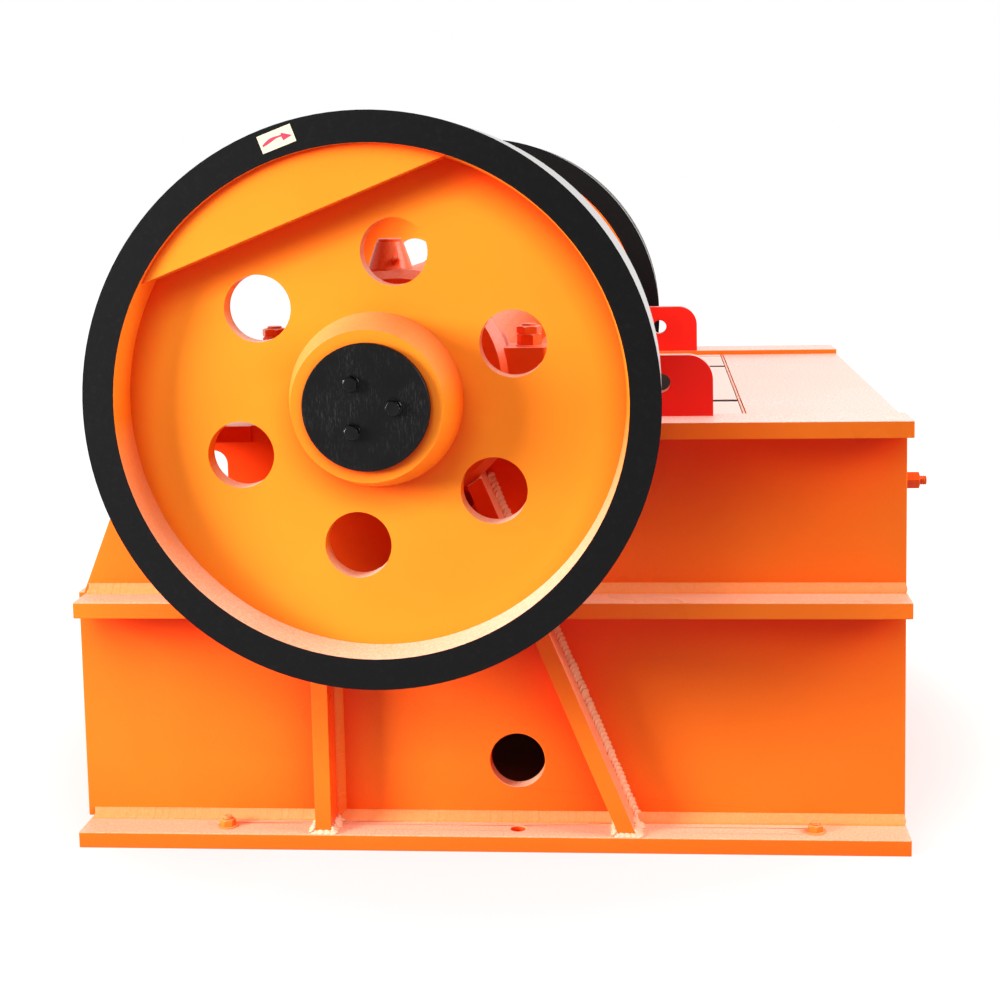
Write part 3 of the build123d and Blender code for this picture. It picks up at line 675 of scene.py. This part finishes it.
SLOT_FINISH = {
    Slot.FRAME: PLATE_ENAMEL,
    Slot.CASTING: CASTING_ENAMEL,
    # Red lugs, whose tops take the dusting and painted top light
    Slot.LUG: SprayedEnamel(
        "red_enamel_sprayed_plate", "#f6281d", "#f2221a", "#ee1c14", dust="#fbe3da", dust_and_light_cover=0.6,
    ),
    # The jaw plates' painted tops are drawn near white, as dusting and painted top light
    Slot.MANGANESE: CastSteel("manganese_steel_as_cast", "#6d6a66", "#6a4a35", top_paint_dust_and_light="#fbe9e2"),
    Slot.IRON: CastSteel("grey_iron_as_cast", "#4a4846", "#5b402e"),
    Slot.WHEEL: FlywheelEnamel(),
    Slot.STEEL: MachinedSteel("turned_steel_oiled", "#c4c3c0", "#9c9890"),
    Slot.CAP: ScratchedBlack(),
}


class MeshDraft:
    """Vertices and faces of one piece, gathered in millimetres before it becomes an object."""

    def __init__(self) -> None:
        """Starts with nothing."""
        self.points: list[Vector] = []
        self.faces: list[tuple[int, ...]] = []

    def loft(self, rings: list[Ring], place: Matrix | None = None) -> None:
        """Joins closed rings of the same count into a skin, and fills the first and the last.

        Args:
            rings: Rings of points, in order.
            place: Matrix that moves the points.
        """
        count = len(rings[0])
        base = len(self.points)
        for ring in rings:
            self.points.extend(place @ p if place else p for p in ring)
        for i in range(len(rings) - 1):
            low = base + i * count
            for j in range(count):
                k = (j + 1) % count
                self.faces.append((low + j, low + k, low + count + k, low + count + j))
        self.faces.append(tuple(base + j for j in reversed(range(count))))
        top = base + (len(rings) - 1) * count
        self.faces.append(tuple(top + j for j in range(count)))

    def piece(self, name: str, finish: Finish, body: Body, slot: Slot, sharp_deg: float = SHARP_DEG) -> None:
        """Makes the object, gives it its finish and sets it on a body.

        Args:
            name: Name of the piece.
            finish: Finish of its surface.
            body: Body that it rides on.
            slot: Record slot that its finish belongs to; not used.
            sharp_deg: Angle over which an edge stays sharp.
        """
        mesh = bpy.data.meshes.new(name)
        mesh.from_pydata([p * MM for p in self.points], [], self.faces)
        mesh.validate()
        mesh.update()
        mesh.shade_smooth()
        mesh.set_sharp_from_angle(angle=math.radians(sharp_deg))
        mesh.materials.append(finish.material())
        made = bpy.data.objects.new(name, mesh)
        bpy.context.scene.collection.objects.link(made)
        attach(made, body.value)
        LOG.info("%s on %s, %d faces", name, body.value, len(mesh.polygons))


def round_ring(radius: float, z: float, count: int = 32) -> Ring:
    """Circle of points about Z.

    Args:
        radius: Radius of the circle.
        z: Height of the circle.
        count: Number of points.

    Returns:
        The points, anticlockwise from above.
    """
    steps = (FULL_TURN * i / count for i in range(count))
    return [Vector((radius * math.cos(a), radius * math.sin(a), z)) for a in steps]


def axis_place(point: Point, out: Point, turn_deg: float = 0.0) -> Matrix:
    """Matrix that sets a piece made along Z on a face.

    Args:
        point: Foot of the piece.
        out: Direction that its Z takes.
        turn_deg: Turn about its own axis.

    Returns:
        The placing matrix.
    """
    aim = Vector(out).to_track_quat("Z", "Y").to_matrix().to_4x4()
    return Matrix.Translation(Vector(point)) @ aim @ Matrix.Rotation(math.radians(turn_deg), 4, "Z")


@dataclass(frozen=True)
class HexFastener:
    """Hexagon nut or bolt head on a washer, with the thread that stands out of it."""

    across_flats: float
    height: float
    thread_r: float
    thread_out: float
    washer_r: float
    washer_t: float
    shank: float = 0.0
    washer_edge: float = 0.6
    hex_points: int = 48
    chamfer_steps: int = 4
    chamfer_top: float = 0.46
    chamfer_rise: float = 0.55
    thread_pitch: float = 3.0
    thread_points: int = 24
    thread_root: float = 0.9
    thread_tip: float = 0.84
    thread_crest: tuple[float, float] = (0.45, 0.6)

    def hex_ring(self, z: float, limit: float) -> Ring:
        """Hexagon at a height, cut back to a circle where the corners are chamfered.

        Args:
            z: Height of the ring.
            limit: Radius of the chamfer's cone there.

        Returns:
            The ring's points.
        """
        ring = []
        for i in range(self.hex_points):
            angle = FULL_TURN * i / self.hex_points
            flat = math.radians(30.0) - angle % math.radians(60.0)
            reach = min(self.across_flats / 2.0 / math.cos(flat), limit)
            ring.append(Vector((reach * math.cos(angle), reach * math.sin(angle), z)))
        return ring

    def add(self, draft: MeshDraft, place: Matrix) -> None:
        """Adds the fastener to a draft.

        Args:
            draft: Draft that takes it.
            place: Where its washer sits.
        """
        if self.shank:
            draft.loft([round_ring(self.thread_r, -self.shank), round_ring(self.thread_r, 0.0)], place)
        if self.washer_t:
            edge = min(self.washer_edge, self.washer_t / 3.0)
            draft.loft([
                round_ring(self.washer_r, 0.0),
                round_ring(self.washer_r, self.washer_t - edge),
                round_ring(self.washer_r - edge, self.washer_t),
            ], place)
        foot = self.washer_t
        top = foot + self.height
        corner = self.across_flats / math.sqrt(3.0)
        steps = self.chamfer_steps
        fall = (corner - self.across_flats * self.chamfer_top) / steps
        rise = fall * self.chamfer_rise
        rings = [self.hex_ring(foot, corner - fall), self.hex_ring(foot + rise, corner)]
        for i in range(steps, -1, -1):
            rings.append(self.hex_ring(top - i * rise, corner - (steps - i) * fall))
        draft.loft(rings, place)
        if self.thread_out:
            draft.loft(self.thread(top), place)

    def thread(self, top: float) -> list[Ring]:
        """Rings of the thread that stands out of the nut.

        Args:
            top: Height of the nut's upper face.

        Returns:
            The rings, in order.
        """
        turns = max(2, int(self.thread_out / self.thread_pitch))
        step = self.thread_out / turns
        shape = [(self.thread_root, 0.0)] + [(1.0, share) for share in self.thread_crest]
        rings = []
        for i in range(turns):
            low = top + self.thread_out * i / turns
            for width, share in shape:
                rings.append(round_ring(self.thread_r * width, low + step * share, self.thread_points))
        tip = self.thread_r * self.thread_tip
        return rings + [round_ring(tip, top + self.thread_out, self.thread_points)]


@dataclass(frozen=True)
class BoltCircle:
    """Equal bolts on a circle about the shaft, each turned a little further than the last."""

    bolt: HexFastener
    radius: float
    count: int
    start: float
    turn_deg: float

    def add(self, draft: MeshDraft, side: Side, face: float) -> None:
        """Adds the bolts to a draft.

        Args:
            draft: Draft that takes them.
            side: Side of the machine.
            face: Distance of the face that they stand on from the middle of the machine.
        """
        for i in range(self.count):
            angle = FULL_TURN * (i + self.start) / self.count
            x = PLAN.shaft_x + self.radius * math.cos(angle)
            z = PLAN.shaft_z + self.radius * math.sin(angle)
            place = axis_place((x, side.value * face, z), (0, side.value, 0), self.turn_deg * i)
            self.bolt.add(draft, place)


@dataclass
class CadDressing:
    """Finishes and softened edges on the CAD nodes themselves."""

    join_mm: float = 0.02
    edge_mm: float = 1.6
    edge_segments: int = 2
    edge_angle_deg: float = 40.0
    flat_angle_deg: float = 4.0
    softened: tuple[Slot, ...] = (Slot.FRAME, Slot.CASTING, Slot.CAP)
    # Nodes round the feed mouth that take more dusting and painted top light
    dusty_top_lit: tuple[str, ...] = ("deck_plate", "top_flange_front_near", "top_flange_front_far")

    def build(self) -> None:
        """Gives each node the finish of its record slot, and the plates round the feed mouth more dusting
        and painted top light.
        """
        for row in frame["record"]["subparts"]:
            node = frame["nodes"][row["node"]]
            slot = Slot(row["material_slot"])
            finish = DUSTY_TOP_LIT_ENAMEL if row["node"] in self.dusty_top_lit else SLOT_FINISH[slot]
            node.data.materials.clear()
            node.data.materials.append(finish.material())
            if slot in self.softened:
                self.soften(node)
            LOG.info("%s takes %s", row["node"], slot.value)

    def soften(self, node: bpy.types.Object) -> None:
        """Rounds a piece's sharp edges so that they catch the light, and keeps its faces flat.

        Args:
            node: CAD node of a plate, a casting or an end cap.
        """
        weld = node.modifiers.new("join_corners", "WELD")
        weld.merge_threshold = self.join_mm * MM
        bevel = node.modifiers.new("rounded_edge", "BEVEL")
        bevel.width = self.edge_mm * MM
        bevel.segments = self.edge_segments
        bevel.limit_method = "ANGLE"
        bevel.angle_limit = math.radians(self.edge_angle_deg)
        flat = node.modifiers.new("flat_faces", "EDGE_SPLIT")
        flat.split_angle = math.radians(self.flat_angle_deg)


@dataclass
class FoundationBolts:
    """Nuts on the foundation bolts that stand in the base flanges; the middle hole stays empty."""

    spots: Pairs = ((-491.0, 14.0), (606.0, 33.0))
    reach: float = 677.0
    nut: HexFastener = HexFastener(25.0, 12.0, 8.5, 6.0, 20.0, 2.0, shank=30.0)

    def build(self) -> None:
        """Builds one piece per flange."""
        for side in Side:
            draft = MeshDraft()
            for x, turn_deg in self.spots:
                spot = (x, side.value * self.reach, PLAN.flange_t)
                self.nut.add(draft, axis_place(spot, UP, turn_deg))
            draft.piece(f"foundation_nuts_{side.label}", BEAD_ENAMEL, Body.FRAME, Slot.FRAME, FACET_DEG)


@dataclass
class BearingBolts:
    """Nuts on the studs that hold each bearing cap down by its ears, and the end cover's bolts."""

    ear_nut: HexFastener = HexFastener(40.0, 21.0, 13.5, 0.0, 25.0, 2.0)
    lock_nut: HexFastener = HexFastener(40.0, 14.0, 13.5, 4.0, 22.0, 0.0)
    # Place along X from the shaft, with the turns of the nut and of the lock nut
    ears: tuple[Point, ...] = ((-234.0, 33.0, -5.0), (234.0, -9.0, 11.0))
    cover: BoltCircle = BoltCircle(HexFastener(16.0, 6.0, 5.0, 0.0, 11.0, 1.5), 134.0, 8, 0.5, 37.0)

    def build(self) -> None:
        """Builds the nuts and bolts of both bearings."""
        above = PLAN.ear_top_z + self.ear_nut.washer_t + self.ear_nut.height
        for side in Side:
            nuts = MeshDraft()
            for ear_x, nut_deg, lock_deg in self.ears:
                x, y = PLAN.shaft_x + ear_x, side.value * PLAN.housing_mid
                self.ear_nut.add(nuts, axis_place((x, y, PLAN.ear_top_z), UP, nut_deg))
                self.lock_nut.add(nuts, axis_place((x, y, above), UP, lock_deg))
            nuts.piece(f"bearing_cap_nuts_{side.label}", CASTING_ENAMEL, Body.FRAME, Slot.CASTING)
            bolts = MeshDraft()
            self.cover.add(bolts, side, PLAN.housing_out + PLAN.cover_t)
            bolts.piece(f"bearing_cover_bolts_{side.label}", CASTING_ENAMEL, Body.FRAME, Slot.CASTING)


@dataclass
class GreaseFittings:
    """Flat cap on the boss of each bearing cap, and a grease nipple low on the boss's side."""

    cap_r: float = 21.5
    cap_h: float = 6.0
    cap_edge: float = 1.5
    nipple_up: float = 14.0
    nipple_r: float = 35.0
    nipple_deg: float = 25.0
    nipple_rise: float = 0.2
    nipple_points: int = 20
    nipple_hex: HexFastener = HexFastener(14.0, 8.0, 5.0, 0.0, 8.0, 0.0)
    nipple_profile: Pairs = (
        (3.4, 8.0), (3.4, 12.0), (2.4, 13.0), (2.4, 14.5), (3.6, 16.0), (3.2, 18.0), (1.4, 19.2),
    )

    def build(self) -> None:
        """Builds the fittings of both bearings."""
        x = PLAN.shaft_x - PLAN.boss_shift
        foot = PLAN.shaft_z + PLAN.cap_r
        turn = math.radians(self.nipple_deg)
        for side in Side:
            y = side.value * PLAN.housing_mid
            cap = MeshDraft()
            cap.loft([
                round_ring(self.cap_r, 0.0), round_ring(self.cap_r, self.cap_h - self.cap_edge),
                round_ring(self.cap_r - self.cap_edge, self.cap_h),
            ], axis_place((x, y, foot + PLAN.boss_h), UP))
            cap.piece(f"grease_boss_cap_{side.label}", CASTING_ENAMEL, Body.FRAME, Slot.CASTING)
            out = (math.sin(turn), side.value * math.cos(turn), self.nipple_rise)
            spot = (x + out[0] * self.nipple_r, y + out[1] * self.nipple_r, foot + self.nipple_up)
            place = axis_place(spot, out)
            nipple = MeshDraft()
            self.nipple_hex.add(nipple, place)
            nipple.loft([round_ring(r, z, self.nipple_points) for r, z in self.nipple_profile], place)
            nipple.piece(f"grease_nipple_{side.label}", CASTING_ENAMEL, Body.FRAME, Slot.CASTING)


@dataclass
class EndCapBolts:
    """Three bolts that clamp each end cap to the shaft."""

    circle: BoltCircle = BoltCircle(HexFastener(22.0, 9.5, 8.0, 0.0, 14.0, 2.5), 45.0, 3, 0.0, 25.0)

    def build(self) -> None:
        """Builds the bolts of both caps."""
        for side in Side:
            draft = MeshDraft()
            self.circle.add(draft, side, PLAN.cap_face)
            draft.piece(f"end_cap_bolts_{side.label}", BOLT_STEEL, Body.ROTOR, Slot.CAP, FACET_DEG)


@dataclass
class FrontStuds:
    """Studs of the fixed jaw's clamps, with their nuts outside the front plate."""

    reach: float = 570.0
    z: float = 665.0
    turn_deg: float = 10.0
    nut: HexFastener = HexFastener(30.0, 27.0, 8.5, 13.0, 19.0, 3.0)

    def build(self) -> None:
        """Builds the studs of both sides."""
        draft = MeshDraft()
        for side in Side:
            spot = (PLAN.front_x, side.value * self.reach, self.z)
            self.nut.add(draft, axis_place(spot, (1, 0, 0), self.turn_deg * side.value))
        draft.piece("front_plate_studs", STUD_ENAMEL, Body.FRAME, Slot.FRAME, FACET_DEG)


@dataclass(frozen=True)
class WeldRun:
    """One straight fillet weld along a corner, and the two directions in which its legs lie."""

    start: Point
    end: Point
    leg_a: Point
    leg_b: Point
    leg: float = 8.0
    ripple: float = 7.0
    swell: float = 0.07
    # Place in a ripple, with the share of the swell that is missing there
    ripple_shape: Pairs = ((0.0, 1.0), (0.4, 0.0), (0.85, 0.2))
    arc: tuple[float, ...] = (0.0, 0.2, 0.5, 0.8, 1.0)
    end_share: float = 0.7
    root: float = 0.6
    hollow: float = 0.28
    crescent: float = 0.45

    def add(self, draft: MeshDraft, chance: random.Random) -> None:
        """Adds the rippled bead to a draft.

        Args:
            draft: Draft that takes it.
            chance: Seeded source of the small differences between ripples.
        """
        way = Vector(self.end) - Vector(self.start)
        count = max(2, int(way.length / self.ripple))
        rings = []
        for i in range(count):
            size = self.leg * chance.uniform(1.0 - self.swell / 2.0, 1.0 + self.swell / 3.0)
            for share, missing in self.ripple_shape:
                rings.append(self.section(way, (i + share) / count, size * (1.0 - self.swell * missing)))
        rings.append(self.section(way, 1.0, self.leg * self.end_share))
        draft.loft(rings)

    def section(self, way: Vector, share: float, size: float) -> Ring:
        """Cross-section of the bead, its crown drawn forward as a ripple's crescent.

        Args:
            way: Whole length of the weld.
            share: Place along it, from 0 to 1.
            size: Length of both legs.

        Returns:
            The section's points.
        """
        at = Vector(self.start) + way * share
        leg_a, leg_b = Vector(self.leg_a), Vector(self.leg_b)
        ring = [at - (leg_a + leg_b) * self.root]
        for turn in self.arc:
            angle = turn * math.pi / 2.0
            bulge = size * (1.0 - self.hollow + self.hollow * abs(math.cos(2.0 * angle)))
            crown = math.sin(math.pi * turn) * self.ripple * self.crescent
            face = (leg_a * math.cos(angle) + leg_b * math.sin(angle)) * bulge
            ring.append(at + face + way.normalized() * crown)
        return ring


@dataclass(frozen=True)
class WeldSeams:
    """Fillet welds on one side of the plate frame, seen along its flanges and ribs."""

    side: Side
    seed: int = 41
    top_leg: float = 17.0
    under_leg: float = 9.0
    upright_leg: float = 15.0
    leaning_leg: float = 13.0
    foot_leg: float = 15.0
    tip_leg: float = 7.0
    tip_over: float = 9.0
    end_gap: float = 2.0
    base_gap: float = 3.0

    @property
    def out(self) -> Point:
        """Direction out of the side wall."""
        return 0, self.side.value, 0

    @property
    def wall(self) -> float:
        """Place of the side wall's outer face along Y."""
        return self.side.value * PLAN.wall_out

    @property
    def tip(self) -> float:
        """Place of the ribs' outer edges along Y."""
        return self.side.value * (PLAN.wall_out + PLAN.rib_w)

    def build(self) -> None:
        """Builds the seams of the side."""
        chance = random.Random(self.seed + self.side.value)
        for name, finish, runs in (
            ("flange_welds", BEAD_ENAMEL, self.flange_runs()),
            ("rib_welds", BEAD_ENAMEL, self.rib_runs()),
            ("leaning_rib_welds", HIGHLIGHT_PAINTED_BEAD, self.diagonal_runs() + self.foot_runs()),
        ):
            draft = MeshDraft()
            for run in runs:
                run.add(draft, chance)
            draft.piece(f"{name}_{self.side.label}", finish, Body.FRAME, Slot.FRAME, BEAD_DEG)

    def flange_runs(self) -> list[WeldRun]:
        """Welds along the flanges."""
        y, ahead = self.wall, PLAN.front_x - self.end_gap
        base = (PLAN.base_rear_x + self.base_gap, ahead)
        full = (PLAN.flange_rear_x + self.end_gap, ahead)
        front = (PLAN.shaft_x + PLAN.ear_reach, ahead)
        rear = (PLAN.top_flange_rear_x, PLAN.shaft_x - PLAN.ear_reach)
        rows = (
            (base, PLAN.flange_t, UP, self.top_leg),
            (full, PLAN.mid_flange_z, DOWN, self.under_leg),
            (full, PLAN.mid_flange_top, UP, self.top_leg),
            (front, PLAN.top_flange_z, DOWN, self.under_leg),
            (rear, PLAN.top_flange_z, DOWN, self.under_leg),
        )
        return [
            WeldRun((a, y, z), (b, y, z), self.out, way, leg, swell=0.015) for (a, b), z, way, leg in rows
        ]

    def rib_runs(self) -> list[WeldRun]:
        """Welds along the upright rib, and under every rib's head."""
        y, low, high = self.wall, PLAN.flange_t, PLAN.mid_flange_z
        runs = []
        for sign in (-1, 1):
            aside = (sign, 0, 0)
            x = PLAN.vertical_rib_x + sign * PLAN.vertical_rib_t / 2.0
            runs.append(WeldRun((x, y, low), (x, y, high), self.out, aside, self.upright_leg, swell=0.03))
            for head in (x, PLAN.diagonal_x(high) + sign * PLAN.diagonal_half):
                runs.append(WeldRun((head, y, high), (head, self.tip, high), aside, DOWN, self.under_leg))
        return runs

    def foot_runs(self) -> list[WeldRun]:
        """Lumpy welds round the feet of the ribs, left thick by hand."""
        y, tip = self.wall, self.tip
        leaning = (-PLAN.diagonal_rib_lean / PLAN.diagonal_slope, 0, 1.0 / PLAN.diagonal_slope)
        feet = [(PLAN.vertical_rib_x, PLAN.vertical_rib_t / 2.0, PLAN.flange_t, UP)]
        for z in (PLAN.flange_t, PLAN.mid_flange_top):
            feet.append((PLAN.diagonal_x(z), PLAN.diagonal_half, z, leaning))
        runs = []
        for x, half, z, up in feet:
            for sign in (-1, 1):
                start, end = (x + sign * half, y, z), (x + sign * half, tip, z)
                runs.append(WeldRun(start, end, (sign, 0, 0), up, self.foot_leg, ripple=11.0, swell=0.3))
            start, end = (x - half - self.tip_over, tip, z), (x + half + self.tip_over, tip, z)
            runs.append(WeldRun(start, end, self.out, up, self.tip_leg, ripple=10.0, swell=0.25))
        return runs

    def diagonal_runs(self) -> list[WeldRun]:
        """Welds along both sides of the leaning ribs."""
        slope = PLAN.diagonal_slope
        ribs = ((PLAN.flange_t, PLAN.mid_flange_z), (PLAN.mid_flange_top, PLAN.diagonal_rib_top_z))
        runs = []
        for sign in (-1, 1):
            away = (sign / slope, 0, sign * PLAN.diagonal_rib_lean / slope)
            for rib in ribs:
                start, end = ((PLAN.diagonal_x(z) + sign * PLAN.diagonal_half, self.wall, z) for z in rib)
                runs.append(WeldRun(start, end, self.out, away, self.leaning_leg, ripple=9.0, swell=0.2))
        return runs


@dataclass
class ArrowSticker:
    """Paper sticker on the near rim with a curved arrow for the turning direction."""

    off_x: float = -136.0
    off_z: float = 428.5
    width: float = 58.0
    height: float = 29.0
    tilt_deg: float = 20.5
    paper_t: float = 0.4
    ink_t: float = 0.2
    tail_x: float = -25.0
    tail_y: float = -3.0
    tail_length: float = 34.0
    tail_steps: int = 8
    bow: float = 6.2
    bow_share: float = 0.62
    drop: float = 0.9
    thin: float = 1.5
    thicker: float = 1.6
    thick_share: float = 1.3
    head: Pairs = ((9.5, -6.4), (26.0, -3.4), (10.5, 6.4))

    def build(self) -> None:
        """Builds the paper and the printed arrow."""
        centre = Vector((PLAN.shaft_x + self.off_x, -PLAN.wheel_face, PLAN.shaft_z + self.off_z))
        place = Matrix.Translation(centre) @ Matrix.Rotation(-math.radians(self.tilt_deg), 4, "Y")
        half_w, half_h = self.width / 2.0, self.height / 2.0
        corners = [(-half_w, -half_h), (half_w, -half_h), (half_w, half_h), (-half_w, half_h)]
        layers = (
            ("turning_sticker", STICKER_PAPER, corners, 0.0, self.paper_t),
            ("turning_arrow", STICKER_INK, self.arrow(), self.paper_t, self.ink_t),
        )
        for name, finish, outline, low, thick in layers:
            draft = MeshDraft()
            draft.loft([[Vector((x, -up, z)) for x, z in outline] for up in (low, low + thick)], place)
            draft.piece(name, finish, Body.ROTOR, Slot.WHEEL)

    def arrow(self) -> list[tuple[float, float]]:
        """Outline of the arrow, a bowed tail with a broad head, anticlockwise from the near side."""
        upper, lower = [], []
        for i in range(self.tail_steps + 1):
            t = i / self.tail_steps
            x = self.tail_x + self.tail_length * t
            y = self.tail_y + self.bow * math.sin(math.pi * self.bow_share * t) - self.drop * t
            thick = self.thin + self.thicker * math.sin(math.pi * min(1.0, t * self.thick_share))
            upper.append((x, y + thick))
            lower.append((x, y - thick))
        return lower + list(self.head) + upper[::-1]


@dataclass(frozen=True)
class Lamp:
    """Soft square lamp: where it hangs, what it faces and its side in metres, and its power in watts."""

    name: str
    spot: Point
    aim: Point
    size: float
    power: float

    def hang(self) -> None:
        """Adds the lamp to the scene."""
        data = bpy.data.lights.new(self.name, "AREA")
        data.size = self.size
        data.energy = self.power
        made = bpy.data.objects.new(self.name, data)
        made.location = self.spot
        made.rotation_mode = "QUATERNION"
        made.rotation_quaternion = (Vector(self.aim) - Vector(self.spot)).to_track_quat("-Z", "Y")
        bpy.context.scene.collection.objects.link(made)


@dataclass
class Studio:
    """Pale floor, soft lamps and the camera at the photograph's angle."""

    eye: Point = (323.8, -3742.4, 1219.8)
    yaw: float = 0.0749
    pitch: float = 0.111
    roll: float = -0.0179
    lens: float = 61.65
    sensor: float = 36.0
    clip_end: float = 100.0
    shift: tuple[float, float] = (-0.02955, -0.1237)
    floor_half: float = 30.0
    ambient: float = 0.36
    shade_tint: str = "#ffb896"
    dim_side: float = 0.2
    lamps: tuple[Lamp, ...] = (
        Lamp("key_lamp", (-4.2, -3.2, 1.8), (-0.2, -0.7, 0.6), 1.8, 375.0),
        Lamp("front_lamp", (-1.8, -5.0, 3.4), (0.0, -0.8, 0.7), 2.2, 84.0),
        Lamp("right_lamp", (3.6, -2.6, 1.6), (0.2, -0.7, 0.4), 2.0, 22.0),
        Lamp("top_lamp", (-0.3, 0.8, 5.0), (0.1, 0.0, 0.6), 2.6, 55.0),
        Lamp("side_lamp", (3.6, -1.1, 2.6), (0.0, -0.75, 0.9), 1.8, 150.0),
    )

    def build(self) -> None:
        """Builds the stage."""
        self.camera()
        self.floor()
        self.world()
        for lamp in self.lamps:
            lamp.hang()

    def camera(self) -> None:
        """Sets the camera by its measured angles."""
        data = bpy.data.cameras.new("camera")
        data.sensor_width = self.sensor
        data.lens = self.lens
        data.shift_x, data.shift_y = self.shift
        data.clip_end = self.clip_end
        place = Matrix.Translation(Vector(self.eye) * MM)
        for angle, axis in ((self.yaw, "Z"), (math.pi / 2.0 - self.pitch, "X"), (self.roll, "Z")):
            place = place @ Matrix.Rotation(angle, 4, axis)
        made = bpy.data.objects.new("camera", data)
        made.matrix_world = place
        bpy.context.scene.collection.objects.link(made)
        bpy.context.scene.camera = made

    def floor(self) -> None:
        """Lays the pale floor."""
        half = self.floor_half
        mesh = bpy.data.meshes.new("floor")
        corners = [(-half, -half, 0.0), (half, -half, 0.0), (half, half, 0.0), (-half, half, 0.0)]
        mesh.from_pydata(corners, [], [(0, 1, 2, 3)])
        mesh.materials.append(StudioFloor().material())
        made = bpy.data.objects.new("floor", mesh)
        bpy.context.scene.collection.objects.link(made)

    def world(self) -> None:
        """Fills the world with white for what is seen and a plain level for what is lit."""
        world = bpy.data.worlds.new("white_studio")
        world.use_nodes = True
        add = partial(add_node, world.node_tree)
        camera, mirror, seen = sight(add)
        # Gloss mirrors the white room, which is dim only on the photographer's side
        ray = add("TexCoord").outputs["Generated"]
        heading = add("SeparateXYZ", [ray])
        room = add("MapRange", [
            heading.outputs["Y"], *Span(-0.7, 0.1, start=self.dim_side),
        ], interpolation_type="SMOOTHSTEP")
        lit = add("MapRange", [mirror, *Span(start=self.ambient, end=room)])
        # What is seen is white; the light that only fills the shade is warm, as among painted machines
        feed(world.node_tree.nodes["Background"], {
            "Color": add("MixRGB", [seen, linear(self.shade_tint), WHITE]),
            "Strength": add("Math", [camera, lit], operation="MAXIMUM"),
        })
        bpy.context.scene.world = world


def main() -> None:
    """Builds every sub-assembly in order."""
    logging.basicConfig(level=logging.INFO, format="%(name)s %(message)s")
    bpy.context.scene.view_settings.view_transform = "Standard"
    for part in (
        CadDressing(), FoundationBolts(), BearingBolts(), GreaseFittings(), EndCapBolts(), FrontStuds(),
        WeldSeams(Side.NEAR), WeldSeams(Side.FAR), ArrowSticker(), Studio(),
    ):
        part.build()


if __name__ == "__main__":
    main()
